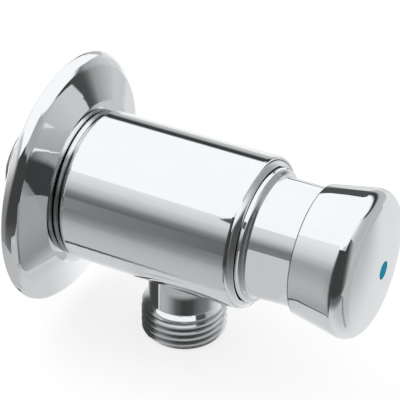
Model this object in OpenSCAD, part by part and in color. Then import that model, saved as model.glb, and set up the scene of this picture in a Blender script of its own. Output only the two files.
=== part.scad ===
// Push timed tap: a wall-mounted self-closing valve, opened by pushing its button.
// The axis runs from the wall, at y = 0, to the button, at -Y. The outlet points down, at -Z.
// Lengths are in millimetres. A value that ends in _at is a distance from the wall along the axis.

/* [Pipe threads] */
// Major diameter of the inlet and outlet pipe threads
thread_d = 20.955; // [16:0.005:27]
// Length of the threaded tail behind the wall face
tail_len = 12; // [9:0.5:18]
// Length of the outlet thread with its end chamfer
outlet_thread_len = 10; // [7:0.5:12]
// Chamfer at the free end of a thread
thread_chamfer = 1.3; // [0.5:0.1:1.8]

/* [Wall flange] */
// Largest diameter of the flange
flange_d = 62.5; // [56:0.5:80]
// Distance from the wall to the collar face of the flange
flange_depth = 6.4; // [6:0.1:9]
// Thickness of the flange
flange_wall = 1.5; // [1:0.1:1.8]
// Distance from the wall to the widest edge
edge_at = 0.85; // [0.6:0.05:1]
// Undercut from the widest edge in to the wall face
edge_back = 1.15; // [0.8:0.05:1.4]
// Width of the rim roll outside the crease
rim_w = 2.85; // [2.4:0.05:3.6]
// Distance from the wall to the crease
crease_at = 3.35; // [3:0.05:3.6]
// Radius of the rim roll
rim_r = 5; // [2:0.5:6]
// Rounding of the crease
crease_r = 4; // [0.5:0.5:4]
// Distance from the wall to the foot of the sweep
foot_at = 5.2; // [4.4:0.1:5.4]
// Radius of the concave sweep
sweep_r = 12; // [5:0.5:14]
// Width of the sloping face between the collar and the foot of the sweep
sweep_w = 3.1; // [2.4:0.1:4]
// Diameter of the collar in front of the sweep
collar_d = 40.6; // [38:0.1:42]
// Thickness of the collar lip round the body
collar_lip = 2; // [1.6:0.1:2.4]

/* [Valve body] */
// Diameter of the body
body_d = 37; // [35:0.5:42]
// Distance from the wall to the front rim of the body
body_front = 53.4; // [52:0.1:60]
// Rounding of the rear edge
body_rear_r = 1.4; // [0.6:0.1:1.8]
// Diameter of the spigot that passes through the flange
spigot_d = 30.8; // [28:0.1:32]
// Diameter of the bead between the flange and the body
bead_d = 36; // [34:0.1:37]
// Width of that bead
bead_w = 1.3; // [0.8:0.1:2]
// Diameter of the outlet chamber
chamber_d = 25; // [22:0.1:26]
// Width of the ledge that carries the valve seat
seat_ledge = 1.1; // [0.8:0.1:1.5]

/* [Outlet] */
// Distance from the wall to the outlet
outlet_at = 32.5; // [31:0.5:33]
// Distance from the axis down to the end of the outlet
outlet_drop = 34.2; // [32:0.1:45]
// Bore at the outlet mouth
outlet_bore_d = 14; // [11:0.1:15]
// Diameter of the port from the outlet chamber
port_d = 12; // [9:0.1:13]
// Step from the thread in to the smooth neck above it
nipple_step = 1.6; // [0.8:0.1:2]

/* [Bonnet] */
// Diameter of the smooth neck that the button slides over
neck_d = 29.1; // [28.6:0.1:30]
// Length of the neck that shows between the body and the button
neck_shown = 13; // [12:0.1:16]
// Diameter of the collar that seats in the front of the body
bonnet_collar_d = 32.6; // [32.2:0.1:33]
// Distance that the collar stands proud of the body
collar_proud = 1.5; // [0.8:0.1:2]
// Step from that collar in to the threaded skirt inside the body
skirt_step = 2.1; // [1.8:0.1:2.4]
// Width across the flats of the hexagon that tightens the bonnet
bonnet_hex = 19; // [17:0.5:20]

/* [Push button] */
// Stroke of the button
travel = 8; // [5:0.5:8.5]
// Length of the button from its rear edge to the top of its dome
cap_len = 16.8; // [16:0.1:22]
// Thickness of the rear edge
cap_lip = 0.95; // [0.7:0.05:2]
// Diameter to which the side flares, before its edge is rounded
cap_front_d = 36.8; // [35:0.1:42]
// Rounding of the front edge
cap_edge_r = 3.9; // [2:0.1:4.5]
// Height of the domed face
dome_h = 2.7; // [1.5:0.1:3.5]
// Thickness of the face at its middle
cap_face = 3.4; // [3.2:0.1:4.5]
// Diameter of the hub inside the button
hub_d = 13; // [11:0.1:14]
// Diameter of the coloured index dot
dot_d = 4.4; // [3.8:0.1:6]

/* [Cartridge] */
// Diameter of the stem in the gland
stem_d = 8; // [7:0.1:9]
// Diameter of the stem behind the piston
stem_tail_d = 6; // [5:0.1:6.4]
// Radial clearance of the dashpot sleeve in the outlet chamber
sleeve_gap = 0.3; // [0.2:0.05:0.6]
// Thickness of the sleeve
sleeve_wall = 1.2; // [0.8:0.1:1.4]
// Number of windows in the sleeve
window_count = 6; // [4:1:8]
// Width of a window
window_w = 6; // [4:0.5:7]
// Diameter of the hole through the valve seat
seat_hole_d = 12; // [10:0.1:13]
// Thickness of the valve seat ring
seat_t = 3; // [2.6:0.1:3.4]
// Diameter of the rubber seat washer
washer_d = 17; // [16:0.1:18]
// Thickness of the seat washer
washer_t = 2.4; // [2:0.1:2.6]
// Wire diameter of the return spring
spring_wire = 1.5; // [1:0.1:1.5]
// Mean diameter of the return spring
spring_d = 16; // [14.5:0.1:18]
// Number of coils of the return spring
spring_coils = 7; // [5:1:7]

/* [Fits] */
// Radial clearance between pieces that are assembled and stay put
fit = 0.05; // [0.02:0.01:0.1]
// Radial clearance of the stem in its bush
run = 0.06; // [0.02:0.01:0.1]
// Radial clearance of the piston in its sleeve
slide = 0.12; // [0.05:0.01:0.2]
// Radial clearance of the button over the neck
cap_clear = 0.3; // [0.2:0.05:0.4]
// Gap between parts that close up at rest or at the end of the stroke
stop_gap = 0.1; // [0.05:0.05:0.3]

/* [Hidden] */
$fn = 96;
// Steps of a rounded corner in an outline
arc_steps = 8;
// Overlap of a cut past the face that it opens
past = 1;
// Roundings of broken, soft and blended edges
edge_break = 0.3;
edge_soft = 0.4;
edge_blend = 0.7;

// Radii of the visible pieces
thread_r = thread_d / 2;
flange_r = flange_d / 2;
collar_r = collar_d / 2;
body_r = body_d / 2;
spigot_r = spigot_d / 2;
neck_r = neck_d / 2;
bonnet_collar_r = bonnet_collar_d / 2;
skirt_r = bonnet_collar_r - skirt_step;
chamber_r = chamber_d / 2;
inlet_r = chamber_r - seat_ledge;
sleeve_r = chamber_r - sleeve_gap;
sleeve_in = sleeve_r - sleeve_wall;
stem_r = stem_d / 2;
stem_tail_r = stem_tail_d / 2;

// Corner of the rim roll, as shares of its width and of its height
rim_bulge = [0.316, 0.48];

// Seal sections: radius of the round section of each ring
flange_ring = 0.5;
bonnet_ring = 0.6;
seat_ring = 0.55;
nipple_ring = 0.45;

// Rear of the body and the inlet tail
hex_at = 0.4;
hex_t = 3.3;
hex_shoulder = 1.5;
tail_wall = 4;
inlet_seal_t = 1;
inlet_screw_step = 1.5;
inlet_flats = thread_d + 2 * hex_shoulder;
inlet_bore_r = thread_r - tail_wall;
spigot_at = hex_at + hex_t + inlet_seal_t;
inlet_screw_r = thread_r - inlet_screw_step;

// Strainer in the mouth of the tail
strainer_gap = 0.3;
strainer_sunk = 0.2;
strainer_lip_t = 1.2;
strainer_lip_w = 2;
strainer_len = 9;
strainer_wall = 0.8;
strainer_slots = 10;
strainer_slot_w = 1;
strainer_r = inlet_bore_r - strainer_gap;
strainer_lip_r = strainer_r + strainer_lip_w;
strainer_at = strainer_sunk - tail_len;
strainer_tube_at = strainer_at + strainer_lip_t;

// Joints that show as fine grooves along the body
groove_w = 0.35;
groove_depth = 1.2;
bead_edge_r = 0.55;
bead_at = flange_depth + groove_w / 2;
bead_end = bead_at + bead_w;
body_at = bead_end + groove_w;
groove_r = bead_d / 2 - groove_depth;
flange_hole_r = spigot_r + cap_clear;

// Mouth of the body round the collar of the bonnet, with a rim rounded over the width that is left
mouth_r = bonnet_collar_r + cap_clear;
rim_round = body_r - mouth_r;

// Valve seat and the washer that closes it from the inlet side
seat_cover = 0.5;
seat_lip_h = 1.1;
seat_lip_w = 1.4;
seat_ring_in = 1.2;
seat_front = outlet_at - port_d / 2 + seat_cover;
seat_at = seat_front - seat_t;
seat_ring_at = seat_at + seat_ring_in;
washer_front = seat_at - seat_lip_h - stop_gap;
washer_at = washer_front - washer_t;
cup_base = 1.8;
cup_wall = 0.8;
cup_rim_h = 1.4;
cup_room = 0.6;
cup_at = washer_at - cup_base;
washer_screw_r = 2;
washer_screw_head_r = 3.5;
washer_screw_head_h = 2.4;
washer_screw_len = 9;
washer_screw_socket = 3;
washer_screw_socket_h = 1.6;
tap_room = 0.5;
inlet_at = cup_at - travel - cup_room;

// Outlet nipple, from the body down
nipple_shoulder = 0.9;
pad_depth = 2.2;
port_wall = 0.9;
thread_lead = 0.8;
outlet_bore_over = 4;
nipple_r = thread_r - nipple_step;
nipple_screw_r = nipple_r - nipple_shoulder;
pad_z = pad_depth - body_r;
nipple_top_z = -(chamber_r + port_wall);
nipple_ring_z = (pad_z + nipple_top_z) / 2;
thread_top_z = outlet_thread_len - outlet_drop;
outlet_bore_top_z = thread_top_z + outlet_bore_over;

// Bonnet, from its skirt in the body to its open front inside the button
skirt_wall = 0.9;
collar_sunk = 2.1;
dash_sunk = 0.4;
gland_wall = 2.5;
bonnet_ring_wall = 0.2;
skirt_at = outlet_at + nipple_screw_r + skirt_wall;
collar_seat = body_front - collar_sunk;
collar_face = body_front + collar_proud;
dash_front = body_front - dash_sunk;
bonnet_ring_r = skirt_r + bonnet_ring_wall + fit + bonnet_ring;

// Gland of the stem, from its seal to the nut that holds it
gland_w = 2;
bush_len = 3.8;
nut_step = 1;
nut_t = 2.8;
nut_slot = 1.5;
nut_slot_depth = 1;
gland_at = dash_front + gland_wall;
bush_r = stem_r + gland_w;
stem_ring = (bush_r - stem_r - slide) / 2;
bush_at = gland_at + 2 * stem_ring + 2 * fit;
nut_at = bush_at + bush_len + fit;
nut_r = bush_r + nut_step;

// Hexagon and glide ring at the open front of the neck
hex_depth = 2.5;
hex_relief = 0.4;
guide_w = 2;
guide_t = 1;
guide_end = 1.2;
hex_floor = nut_at + nut_t + fit;
neck_bore_r = bonnet_hex / 2 / cos(30) + hex_relief;

// Button, from its rear edge to its dome
cap_rear = body_front + neck_shown;
cap_front = cap_rear + cap_len;
cap_bore_r = neck_r + cap_clear;
cap_inner = cap_front - cap_face;
cap_room = 0.4;
neck_front = cap_inner - travel - cap_room;
guide_at = neck_front - guide_end - guide_w;
cap_corner = [cap_front_d / 2, cap_front - dome_h];
dome_r = (pow(cap_corner.x, 2) + pow(dome_h, 2)) / (2 * dome_h);
hub_len = 4.8;
hub_floor = 1.3;
cap_inside_r = 1.5;
hub_at = cap_inner - hub_len;
stem_front = cap_inner - hub_floor;
dot_t = 1.2;
cap_screw_head_h = 1.5;
cap_screw_r = 1.25;
cap_screw_len = 9.3;
cap_screw_at = cap_front - dot_t - cap_screw_head_h - stop_gap;
cap_screw_slot = 0.6;

// Piston on the stem, with its cup seal held between the piston and a washer
dash_room = 1.5;
retainer_t = 1.2;
seal_base = 1.3;
seal_lip_h = 1.9;
seal_lip_t = 1;
seal_draft = 0.3;
retainer_gap = 0.7;
piston_t = 2;
piston_hub = 3;
metering_slot = 0.5;
clip_t = 0.8;
clip_w = 1.6;
clip_groove = 0.45;
clip_opening = 2.4;
shoulder_at = dash_front - dash_room;
retainer_at = shoulder_at - retainer_t;
piston_face = retainer_at - seal_base;
piston_at = piston_face - piston_t;
piston_r = sleeve_in - slide;
piston_hub_r = stem_tail_r + piston_hub;
clip_at = piston_at - clip_t;
clip_r = stem_tail_r + clip_w;
clip_groove_r = stem_tail_r - clip_groove;

// Windows of the dashpot sleeve, clear of the piston at the end of its stroke
window_rim = 1.5;
window_room = 1;
window_at = seat_front + window_rim;
window_end = piston_at - travel - window_room;

// Return spring between the seat and the piston
spring_at = seat_front + spring_wire / 2 + stop_gap;
spring_end = piston_at - spring_wire / 2 - stop_gap;
spring_rings = 8;
spring_sides = 6;
spring_end_gap = 0.5;
spring_end_pitch = spring_wire + spring_end_gap;

// A unit vector along v
function unit(v) = v / norm(v);

// An angle brought between -180 and 180
function turn(a) = a > 180 ? a - 360 : a < -180 ? a + 360 : a;

// Points of an arc about c that starts at angle a and turns through sweep
function arc(c, r, a, sweep) =
    [for (i = [0:arc_steps]) c + r * [cos(a + sweep * i / arc_steps), sin(a + sweep * i / arc_steps)]];

// Points that round the corner q between p and n to radius r
function corner(p, q, n, r) =
    let (u = unit(p - q), v = unit(n - q), half = acos(u * v) / 2)
    let (c = q + unit(u + v) * r / sin(half), s = q + u * r / tan(half) - c, e = q + v * r / tan(half) - c)
    let (a = atan2(s.y, s.x), sweep = turn(atan2(e.y, e.x) - a))
    arc(c, r, a, sweep);

// A closed outline from [radius, distance] points, each with an optional rounding as its third number
function rounded(path) =
    let (n = len(path), at = [for (p = path) [p.x, p.y]])
    [for (i = [0:n - 1])
        each (len(path[i]) == 3 ? corner(at[(i + n - 1) % n], at[i], at[(i + 1) % n], path[i].z) : [at[i]])];

// Turns a [radius, distance from the wall] outline about the tap's axis
module turned(outline) {
    rotate([90, 0, 0]) rotate_extrude() polygon(outline);
}

// A plain ring along the axis
module tube(r_in, r_out, from, to) {
    turned([[r_in, from], [r_out, from], [r_out, to], [r_in, to]]);
}

// A round bar along the axis
module bar(r, from, to) {
    rotate([90, 0, 0]) translate([0, 0, from]) cylinder(r = r, h = to - from);
}

// A hexagonal bar along the axis, by its width across flats
module hex_bar(flats, from, to) {
    rotate([90, 0, 0]) translate([0, 0, from]) cylinder(d = flats / cos(30), h = to - from, $fn = 6);
}

// A seal ring of round section about the axis
module seal_ring(r, at, section) {
    rotate([90, 0, 0]) rotate_extrude() translate([r, at]) circle(r = section);
}

// Body: turned barrel with a spigot and bead at the rear and three stepped bores, drilled for the outlet
module valve_body() {
    oring_w = 2 * flange_ring + 2 * fit;
    oring_at = (spigot_at + bead_at - oring_w) / 2;
    oring_floor = flange_hole_r - 2 * flange_ring - 2 * fit;
    color("gainsboro") difference() {
        turned(rounded([
            [inlet_screw_r + fit, spigot_at], [spigot_r, spigot_at, edge_break], [spigot_r, oring_at],
            [oring_floor, oring_at], [oring_floor, oring_at + oring_w], [spigot_r, oring_at + oring_w],
            [spigot_r, bead_at], [bead_d / 2, bead_at, bead_edge_r], [bead_d / 2, bead_end, bead_edge_r],
            [groove_r, bead_end], [groove_r, body_at], [body_r, body_at, body_rear_r],
            [body_r, body_front, rim_round], [mouth_r, body_front],
            [mouth_r, collar_seat], [skirt_r + fit, collar_seat],
            [skirt_r + fit, skirt_at], [chamber_r, skirt_at], [chamber_r, seat_at],
            [inlet_r, seat_at], [inlet_r, inlet_at], [inlet_screw_r + fit, inlet_at]]));
        translate([0, -outlet_at, 0]) {
            translate([0, 0, -body_r - past]) cylinder(r = nipple_r + cap_clear, h = body_r + past + pad_z);
            translate([0, 0, -body_r]) cylinder(r = nipple_screw_r + fit, h = body_r + nipple_top_z);
            translate([0, 0, -body_r]) cylinder(d = port_d, h = body_r);
        }
    }
}

// Flange: pressed bell with a rolled rim, a concave sweep and a collar lip that closes on the spigot
module wall_flange() {
    foot = [collar_r + sweep_w, foot_at];
    crease = [flange_r - rim_w, crease_at];
    roll = [flange_r, edge_at] + [-rim_bulge.x * rim_w, rim_bulge.y * (crease_at - edge_at)];
    back_r = flange_r - edge_back;
    lip_at = flange_depth - collar_lip;
    color("gainsboro") turned(rounded([
        [back_r - flange_wall, 0], [back_r, 0, edge_break], [flange_r, edge_at, edge_break],
        [roll.x, roll.y, rim_r], [crease.x, crease.y, crease_r], [foot.x, foot.y, sweep_r],
        [collar_r, flange_depth, edge_break], [flange_hole_r, flange_depth, edge_break], [flange_hole_r, lip_at],
        [collar_r - flange_wall, lip_at], [foot.x, foot.y - collar_lip],
        [back_r - flange_wall, crease_at - collar_lip]]));
}

// Rubber ring that grips the flange on the spigot
module flange_oring() {
    at = (spigot_at + bead_at) / 2;
    color("dimgray") seal_ring(flange_hole_r - fit - flange_ring, at, flange_ring);
}

// Inlet: threaded tail for the wall, a hexagon to tighten it, and a screwed spigot in the body
module inlet_nipple() {
    color("darkkhaki") difference() {
        union() {
            turned([[0, -tail_len], [thread_r - thread_chamfer, -tail_len],
                [thread_r, thread_chamfer - tail_len], [thread_r, hex_at], [0, hex_at]]);
            hex_bar(inlet_flats, hex_at, hex_at + hex_t);
            bar(inlet_screw_r, hex_at + hex_t, inlet_at - fit);
        }
        bar(inlet_bore_r, -tail_len - past, inlet_at + past);
        bar(strainer_lip_r + fit, -tail_len - past, strainer_tube_at);
    }
}

// Flat fibre washer between the inlet hexagon and the body
module inlet_seal() {
    color("sienna") tube(inlet_screw_r + fit, inlet_flats / 2, hex_at + hex_t, spigot_at);
}

// Strainer: slotted cup that drops into the tail
module inlet_strainer() {
    end = strainer_tube_at + strainer_len;
    inside = strainer_r - strainer_wall;
    slot_rim = 2 * strainer_wall;
    color("silver") difference() {
        turned([[inside, strainer_at], [strainer_lip_r, strainer_at], [strainer_lip_r, strainer_tube_at],
            [strainer_r, strainer_tube_at], [strainer_r, end], [0, end], [0, end - strainer_wall],
            [inside, end - strainer_wall]]);
        for (i = [0:strainer_slots - 1])
            rotate([90, i * 360 / strainer_slots, 0])
                translate([inside - past, -strainer_slot_w / 2, strainer_tube_at + slot_rim])
                    cube([strainer_wall + 2 * past, strainer_slot_w, strainer_len - 2 * slot_rim]);
    }
}

// Outlet: screwed-in nipple with a smooth neck, a shoulder and the outlet thread
module outlet_nipple() {
    ring_z = nipple_ring_z;
    ring_h = nipple_ring + fit;
    ring_floor = nipple_screw_r - 2 * nipple_ring - fit;
    color("gainsboro") translate([0, -outlet_at, 0]) rotate_extrude() polygon(rounded([
        [port_d / 2, nipple_top_z - fit], [nipple_screw_r, nipple_top_z - fit], [nipple_screw_r, ring_z + ring_h],
        [ring_floor, ring_z + ring_h], [ring_floor, ring_z - ring_h], [nipple_screw_r, ring_z - ring_h],
        [nipple_screw_r, pad_z], [nipple_r, pad_z], [nipple_r, thread_top_z + thread_lead, edge_blend],
        [thread_r - thread_lead, thread_top_z + thread_lead], [thread_r, thread_top_z],
        [thread_r, thread_chamfer - outlet_drop], [thread_r - thread_chamfer, -outlet_drop],
        [outlet_bore_d / 2, -outlet_drop], [outlet_bore_d / 2, outlet_bore_top_z],
        [port_d / 2, outlet_bore_top_z]]));
}

// Seal ring on the screwed end of the outlet nipple
module outlet_oring() {
    color("dimgray") translate([0, -outlet_at, nipple_ring_z])
        rotate_extrude() translate([nipple_screw_r - nipple_ring, 0]) circle(r = nipple_ring);
}

// Bonnet: skirt, seating collar and polished neck, bored for the stem and open inside the button
module bonnet() {
    groove_in = skirt_r + bonnet_ring_wall;
    groove_out = groove_in + 2 * bonnet_ring + 2 * fit;
    groove_top = collar_seat + 2 * bonnet_ring + fit;
    color("gainsboro") difference() {
        turned(rounded([
            [sleeve_r + fit, skirt_at + fit], [skirt_r, skirt_at + fit, edge_soft], [skirt_r, collar_seat],
            [groove_in, collar_seat], [groove_in, groove_top], [groove_out, groove_top], [groove_out, collar_seat],
            [bonnet_collar_r, collar_seat], [bonnet_collar_r, collar_face, edge_blend],
            [neck_r, collar_face, edge_blend], [neck_r, guide_at - fit], [neck_r - guide_t, guide_at - fit],
            [neck_r - guide_t, guide_at + guide_w + fit], [neck_r, guide_at + guide_w + fit],
            [neck_r, neck_front, edge_soft], [neck_bore_r, neck_front],
            [neck_bore_r, hex_floor + hex_depth], [nut_r + fit, hex_floor + hex_depth],
            [nut_r + fit, nut_at], [bush_r + fit, nut_at], [bush_r + fit, gland_at],
            [stem_r + slide, gland_at], [stem_r + slide, dash_front], [sleeve_r + fit, dash_front]]));
        hex_bar(bonnet_hex, hex_floor, hex_floor + hex_depth + past);
    }
}

// Seal ring under the collar of the bonnet
module bonnet_oring() {
    color("dimgray") seal_ring(bonnet_ring_r, collar_seat + bonnet_ring, bonnet_ring);
}

// Plastic ring near the front of the neck on which the button glides
module cap_guide_ring() {
    color("ivory") tube(neck_r - guide_t + fit, cap_bore_r - slide, guide_at, guide_at + guide_w);
}

// Slotted nut that holds the bush and seal of the stem
module gland_nut() {
    color("darkkhaki") difference() {
        tube(stem_r + slide, nut_r, nut_at, nut_at + nut_t);
        rotate([90, 0, 0]) translate([-nut_r - past, -nut_slot / 2, nut_at + nut_t - nut_slot_depth])
            cube([2 * (nut_r + past), nut_slot, nut_slot_depth + past]);
    }
}

// Plain bush that guides the stem
module stem_bush() {
    color("peru") tube(stem_r + run, bush_r, bush_at, bush_at + bush_len);
}

// Seal ring round the stem, behind the bush
module stem_oring() {
    color("dimgray") seal_ring(bush_r - stem_ring, gland_at + stem_ring + fit, stem_ring);
}

// Sleeve in which the piston slides, with windows that let the water out at its rear
module dashpot_sleeve() {
    color("ivory") difference() {
        tube(sleeve_in, sleeve_r, seat_front, dash_front - stop_gap);
        for (i = [0:window_count - 1])
            rotate([90, i * 360 / window_count, 0])
                translate([sleeve_in - past, -window_w / 2, window_at])
                    cube([sleeve_wall + 2 * past, window_w, window_end - window_at]);
    }
}

// Seat ring against the shoulder of the body, with a raised lip on the inlet side
module valve_seat() {
    ring_w = seat_ring + fit;
    hole = seat_hole_d / 2;
    rim = chamber_r - 2 * fit;
    ring_floor = rim - 2 * seat_ring;
    color("darkkhaki") turned(rounded([
        [hole, seat_at - seat_lip_h, edge_soft], [hole + seat_lip_w, seat_at - seat_lip_h, edge_soft],
        [hole + seat_lip_w, seat_at], [rim, seat_at], [rim, seat_ring_at - ring_w],
        [ring_floor, seat_ring_at - ring_w], [ring_floor, seat_ring_at + ring_w],
        [rim, seat_ring_at + ring_w], [rim, seat_front], [hole, seat_front, edge_soft]]));
}

// Seal ring round the valve seat
module seat_oring() {
    color("dimgray") seal_ring(chamber_r - fit - seat_ring, seat_ring_at, seat_ring);
}

// Distance of the spring's centre line along the axis, after t coils: close coils at each end
function spring_s(t) =
    let (free = spring_coils - 2, pitch = (spring_end - spring_at - 2 * spring_end_pitch) / free)
    t < 1 ? spring_at + t * spring_end_pitch
    : t > spring_coils - 1 ? spring_end - (spring_coils - t) * spring_end_pitch
    : spring_at + spring_end_pitch + (t - 1) * pitch;

spring_line = [for (i = [0:spring_coils * spring_rings])
    let (a = 360 * i / spring_rings)
    [spring_d / 2 * cos(a), spring_d / 2 * sin(a), spring_s(i / spring_rings)]];

// Least distance between two stretches of the wire, at least half a coil apart
spring_gap = min([for (i = [0:len(spring_line) - 1]) for (j = [i + spring_rings / 2:1:len(spring_line) - 1])
    norm(spring_line[i] - spring_line[j])]) - spring_wire;
echo(spring_gap = spring_gap);

// Return spring: one unbroken wire between the seat and the piston
module return_spring() {
    n = len(spring_line);
    points = [for (i = [0:n - 1]) for (k = [0:spring_sides - 1])
        let (a = 360 * i / spring_rings, b = 360 * k / spring_sides)
        let (r = spring_d / 2 + spring_wire / 2 * cos(b))
        [r * cos(a), r * sin(a), spring_line[i].z + spring_wire / 2 * sin(b)]];
    side = [for (i = [0:n - 2]) for (k = [0:spring_sides - 1])
        let (p = i * spring_sides + k, q = i * spring_sides + (k + 1) % spring_sides)
        each [[p, p + spring_sides, q], [q, p + spring_sides, q + spring_sides]]];
    last = (n - 1) * spring_sides;
    start_cap = [for (k = [1:spring_sides - 2]) [0, k, k + 1]];
    end_cap = [for (k = [1:spring_sides - 2]) [last, last + k + 1, last + k]];
    color("lightsteelblue") rotate([90, 0, 0]) polyhedron(points, concat(side, start_cap, end_cap));
}

// Stem: gland length at the front, thinner tail through the seat, tapped at both ends
module push_stem() {
    color("silver") difference() {
        turned(rounded([
            [0, washer_at], [stem_tail_r, washer_at, edge_break], [stem_tail_r, clip_at],
            [clip_groove_r, clip_at],
            [clip_groove_r, clip_at + clip_t], [stem_tail_r, clip_at + clip_t], [stem_tail_r, shoulder_at],
            [stem_r, shoulder_at, edge_break], [stem_r, stem_front, edge_soft], [0, stem_front]]));
        bar(washer_screw_r + fit, washer_at - past, washer_at + washer_screw_len);
        bar(cap_screw_r + fit, cap_screw_at - cap_screw_len - tap_room, stem_front + past);
    }
}

// Piston: disc that slides in the sleeve, with a metering slot across its edge
module piston() {
    color("ivory") difference() {
        turned(rounded([
            [stem_tail_r + fit, piston_at], [piston_r, piston_at, edge_break], [piston_r, piston_face],
            [piston_hub_r, piston_face], [piston_hub_r, retainer_at], [stem_tail_r + fit, retainer_at]]));
        rotate([90, 0, 0]) translate([piston_r - metering_slot, -metering_slot / 2, piston_at - past])
            cube([metering_slot + past, metering_slot, piston_t + 2 * past]);
    }
}

// Cup seal of the piston: its lip opens to the front, so water passes it only one way
module piston_seal() {
    lip_end = retainer_at + seal_lip_h;
    color("dimgray") turned([
        [piston_hub_r + fit, piston_face], [piston_r - seal_draft, piston_face],
        [piston_r, lip_end - seal_draft], [piston_r - seal_draft, lip_end],
        [piston_r - seal_lip_t, retainer_at], [piston_hub_r + fit, retainer_at]]);
}

// Washer that clamps the cup seal against the shoulder of the stem
module seal_retainer() {
    color("silver") tube(stem_tail_r + fit, piston_r - seal_lip_t - retainer_gap, retainer_at, shoulder_at);
}

// Open snap ring behind the piston
module stem_clip() {
    color("lightsteelblue") difference() {
        tube(clip_groove_r + fit, clip_r, clip_at + fit / 2, clip_at + clip_t - fit / 2);
        rotate([90, 0, 0]) translate([0, -clip_opening / 2, clip_at - past])
            cube([clip_r + past, clip_opening, clip_t + 2 * past]);
    }
}

// Brass cup that carries the seat washer
module washer_cup() {
    inside = washer_d / 2 + fit;
    color("darkkhaki") turned(rounded([
        [washer_screw_r + fit, cup_at], [inside + cup_wall, cup_at, edge_blend],
        [inside + cup_wall, washer_at + cup_rim_h], [inside, washer_at + cup_rim_h], [inside, washer_at],
        [washer_screw_r + fit, washer_at]]));
}

// Rubber washer that closes on the lip of the valve seat
module seat_washer() {
    color("dimgray") tube(stem_tail_r + fit, washer_d / 2, washer_at, washer_front);
}

// Hexagon socket screw that holds the cup on the stem
module washer_screw() {
    head_at = cup_at - washer_screw_head_h;
    color("lightsteelblue") difference() {
        union() {
            bar(washer_screw_head_r, head_at, cup_at);
            bar(washer_screw_r, cup_at - fit, washer_at + washer_screw_len - tap_room);
        }
        hex_bar(washer_screw_socket, head_at - past, head_at + washer_screw_socket_h);
    }
}

// Outline of the button: flared side, rounded edge and shallow dome, each tangent to the next
function cap_outline() =
    let (rear = [cap_bore_r + cap_lip, cap_rear], d = unit(cap_corner - rear), inward = [-d.y, d.x])
    let (centre = [0, cap_front - dome_r], w = rear + inward * cap_edge_r - centre, reach = dome_r - cap_edge_r)
    let (t = -(d * w) + sqrt(pow(d * w, 2) - w * w + reach * reach), c = rear + inward * cap_edge_r + d * t)
    let (a = atan2(-inward.y, -inward.x), b = atan2(c.y - centre.y, c.x - centre.x))
    concat([[0, cap_rear], rear], arc(c, cap_edge_r, a, b - a), arc(centre, dome_r, b, 90 - b));

// Button: hollow cap over the neck, with a hub for the stem and a hole in its face for screw and dot
module button_cap() {
    color("gainsboro") difference() {
        turned(cap_outline());
        difference() {
            turned(rounded([[0, cap_rear - past], [cap_bore_r, cap_rear - past],
                [cap_bore_r, cap_inner, cap_inside_r], [0, cap_inner]]));
            bar(hub_d / 2, hub_at, cap_inner + past);
        }
        bar(stem_r + fit, hub_at - past, stem_front);
        bar(cap_screw_r + fit, stem_front - past, cap_front);
        bar(dot_d / 2, cap_screw_at, cap_front + past);
    }
}

// Slotted screw that holds the button on the stem, under the dot
module cap_screw() {
    head_top = cap_screw_at + cap_screw_head_h;
    color("lightsteelblue") difference() {
        union() {
            bar(dot_d / 2 - 2 * fit, cap_screw_at, head_top);
            bar(cap_screw_r, cap_screw_at - cap_screw_len, cap_screw_at + fit);
        }
        rotate([90, 0, 0]) translate([-dot_d, -cap_screw_slot / 2, head_top - cap_screw_slot])
            cube([2 * dot_d, cap_screw_slot, cap_screw_slot + past]);
    }
}

// Coloured plug in the middle of the face
module index_dot() {
    r = dot_d / 2 - fit;
    color("darkcyan") turned(rounded([
        [0, cap_front - dot_t], [r, cap_front - dot_t], [r, cap_front, edge_break], [0, cap_front]]));
}

valve_body();
wall_flange();
flange_oring();
inlet_nipple();
inlet_seal();
inlet_strainer();
outlet_nipple();
outlet_oring();
bonnet();
bonnet_oring();
cap_guide_ring();
gland_nut();
stem_bush();
stem_oring();
dashpot_sleeve();
valve_seat();
seat_oring();
return_spring();
push_stem();
piston();
piston_seal();
seal_retainer();
stem_clip();
washer_cup();
seat_washer();
washer_screw();
button_cap();
cap_screw();
index_dot();
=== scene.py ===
"""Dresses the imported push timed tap: turned chrome, cut pipe threads, wound spring, finishes and studio."""

import math

import bmesh
import bpy
from bpy.props import FloatProperty, FloatVectorProperty, IntProperty, PointerProperty
from mathutils import Matrix, Vector


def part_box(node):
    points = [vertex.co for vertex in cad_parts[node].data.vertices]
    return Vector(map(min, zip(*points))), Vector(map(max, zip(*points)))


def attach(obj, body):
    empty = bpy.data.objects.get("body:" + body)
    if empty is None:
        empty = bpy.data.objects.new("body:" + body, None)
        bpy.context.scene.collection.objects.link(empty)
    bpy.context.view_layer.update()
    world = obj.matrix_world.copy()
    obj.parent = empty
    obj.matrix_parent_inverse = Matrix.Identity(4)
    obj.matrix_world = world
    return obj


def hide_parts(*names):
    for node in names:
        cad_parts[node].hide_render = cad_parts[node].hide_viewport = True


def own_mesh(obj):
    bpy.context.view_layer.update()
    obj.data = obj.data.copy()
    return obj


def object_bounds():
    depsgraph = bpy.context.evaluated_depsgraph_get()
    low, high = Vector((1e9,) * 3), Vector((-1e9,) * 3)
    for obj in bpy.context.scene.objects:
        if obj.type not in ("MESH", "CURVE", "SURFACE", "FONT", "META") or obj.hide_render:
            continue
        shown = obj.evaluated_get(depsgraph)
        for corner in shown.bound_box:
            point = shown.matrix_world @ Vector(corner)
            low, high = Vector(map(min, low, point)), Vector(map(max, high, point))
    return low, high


bl_info = {
    "name": "Push Timed Tap",
    "version": (1, 0, 0),
    "blender": (4, 5, 0),
    "location": "View3D > Sidebar > Tap",
    "description": "Builds the visible pieces, finishes and studio of a push timed tap",
    "category": "Object",
}

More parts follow.
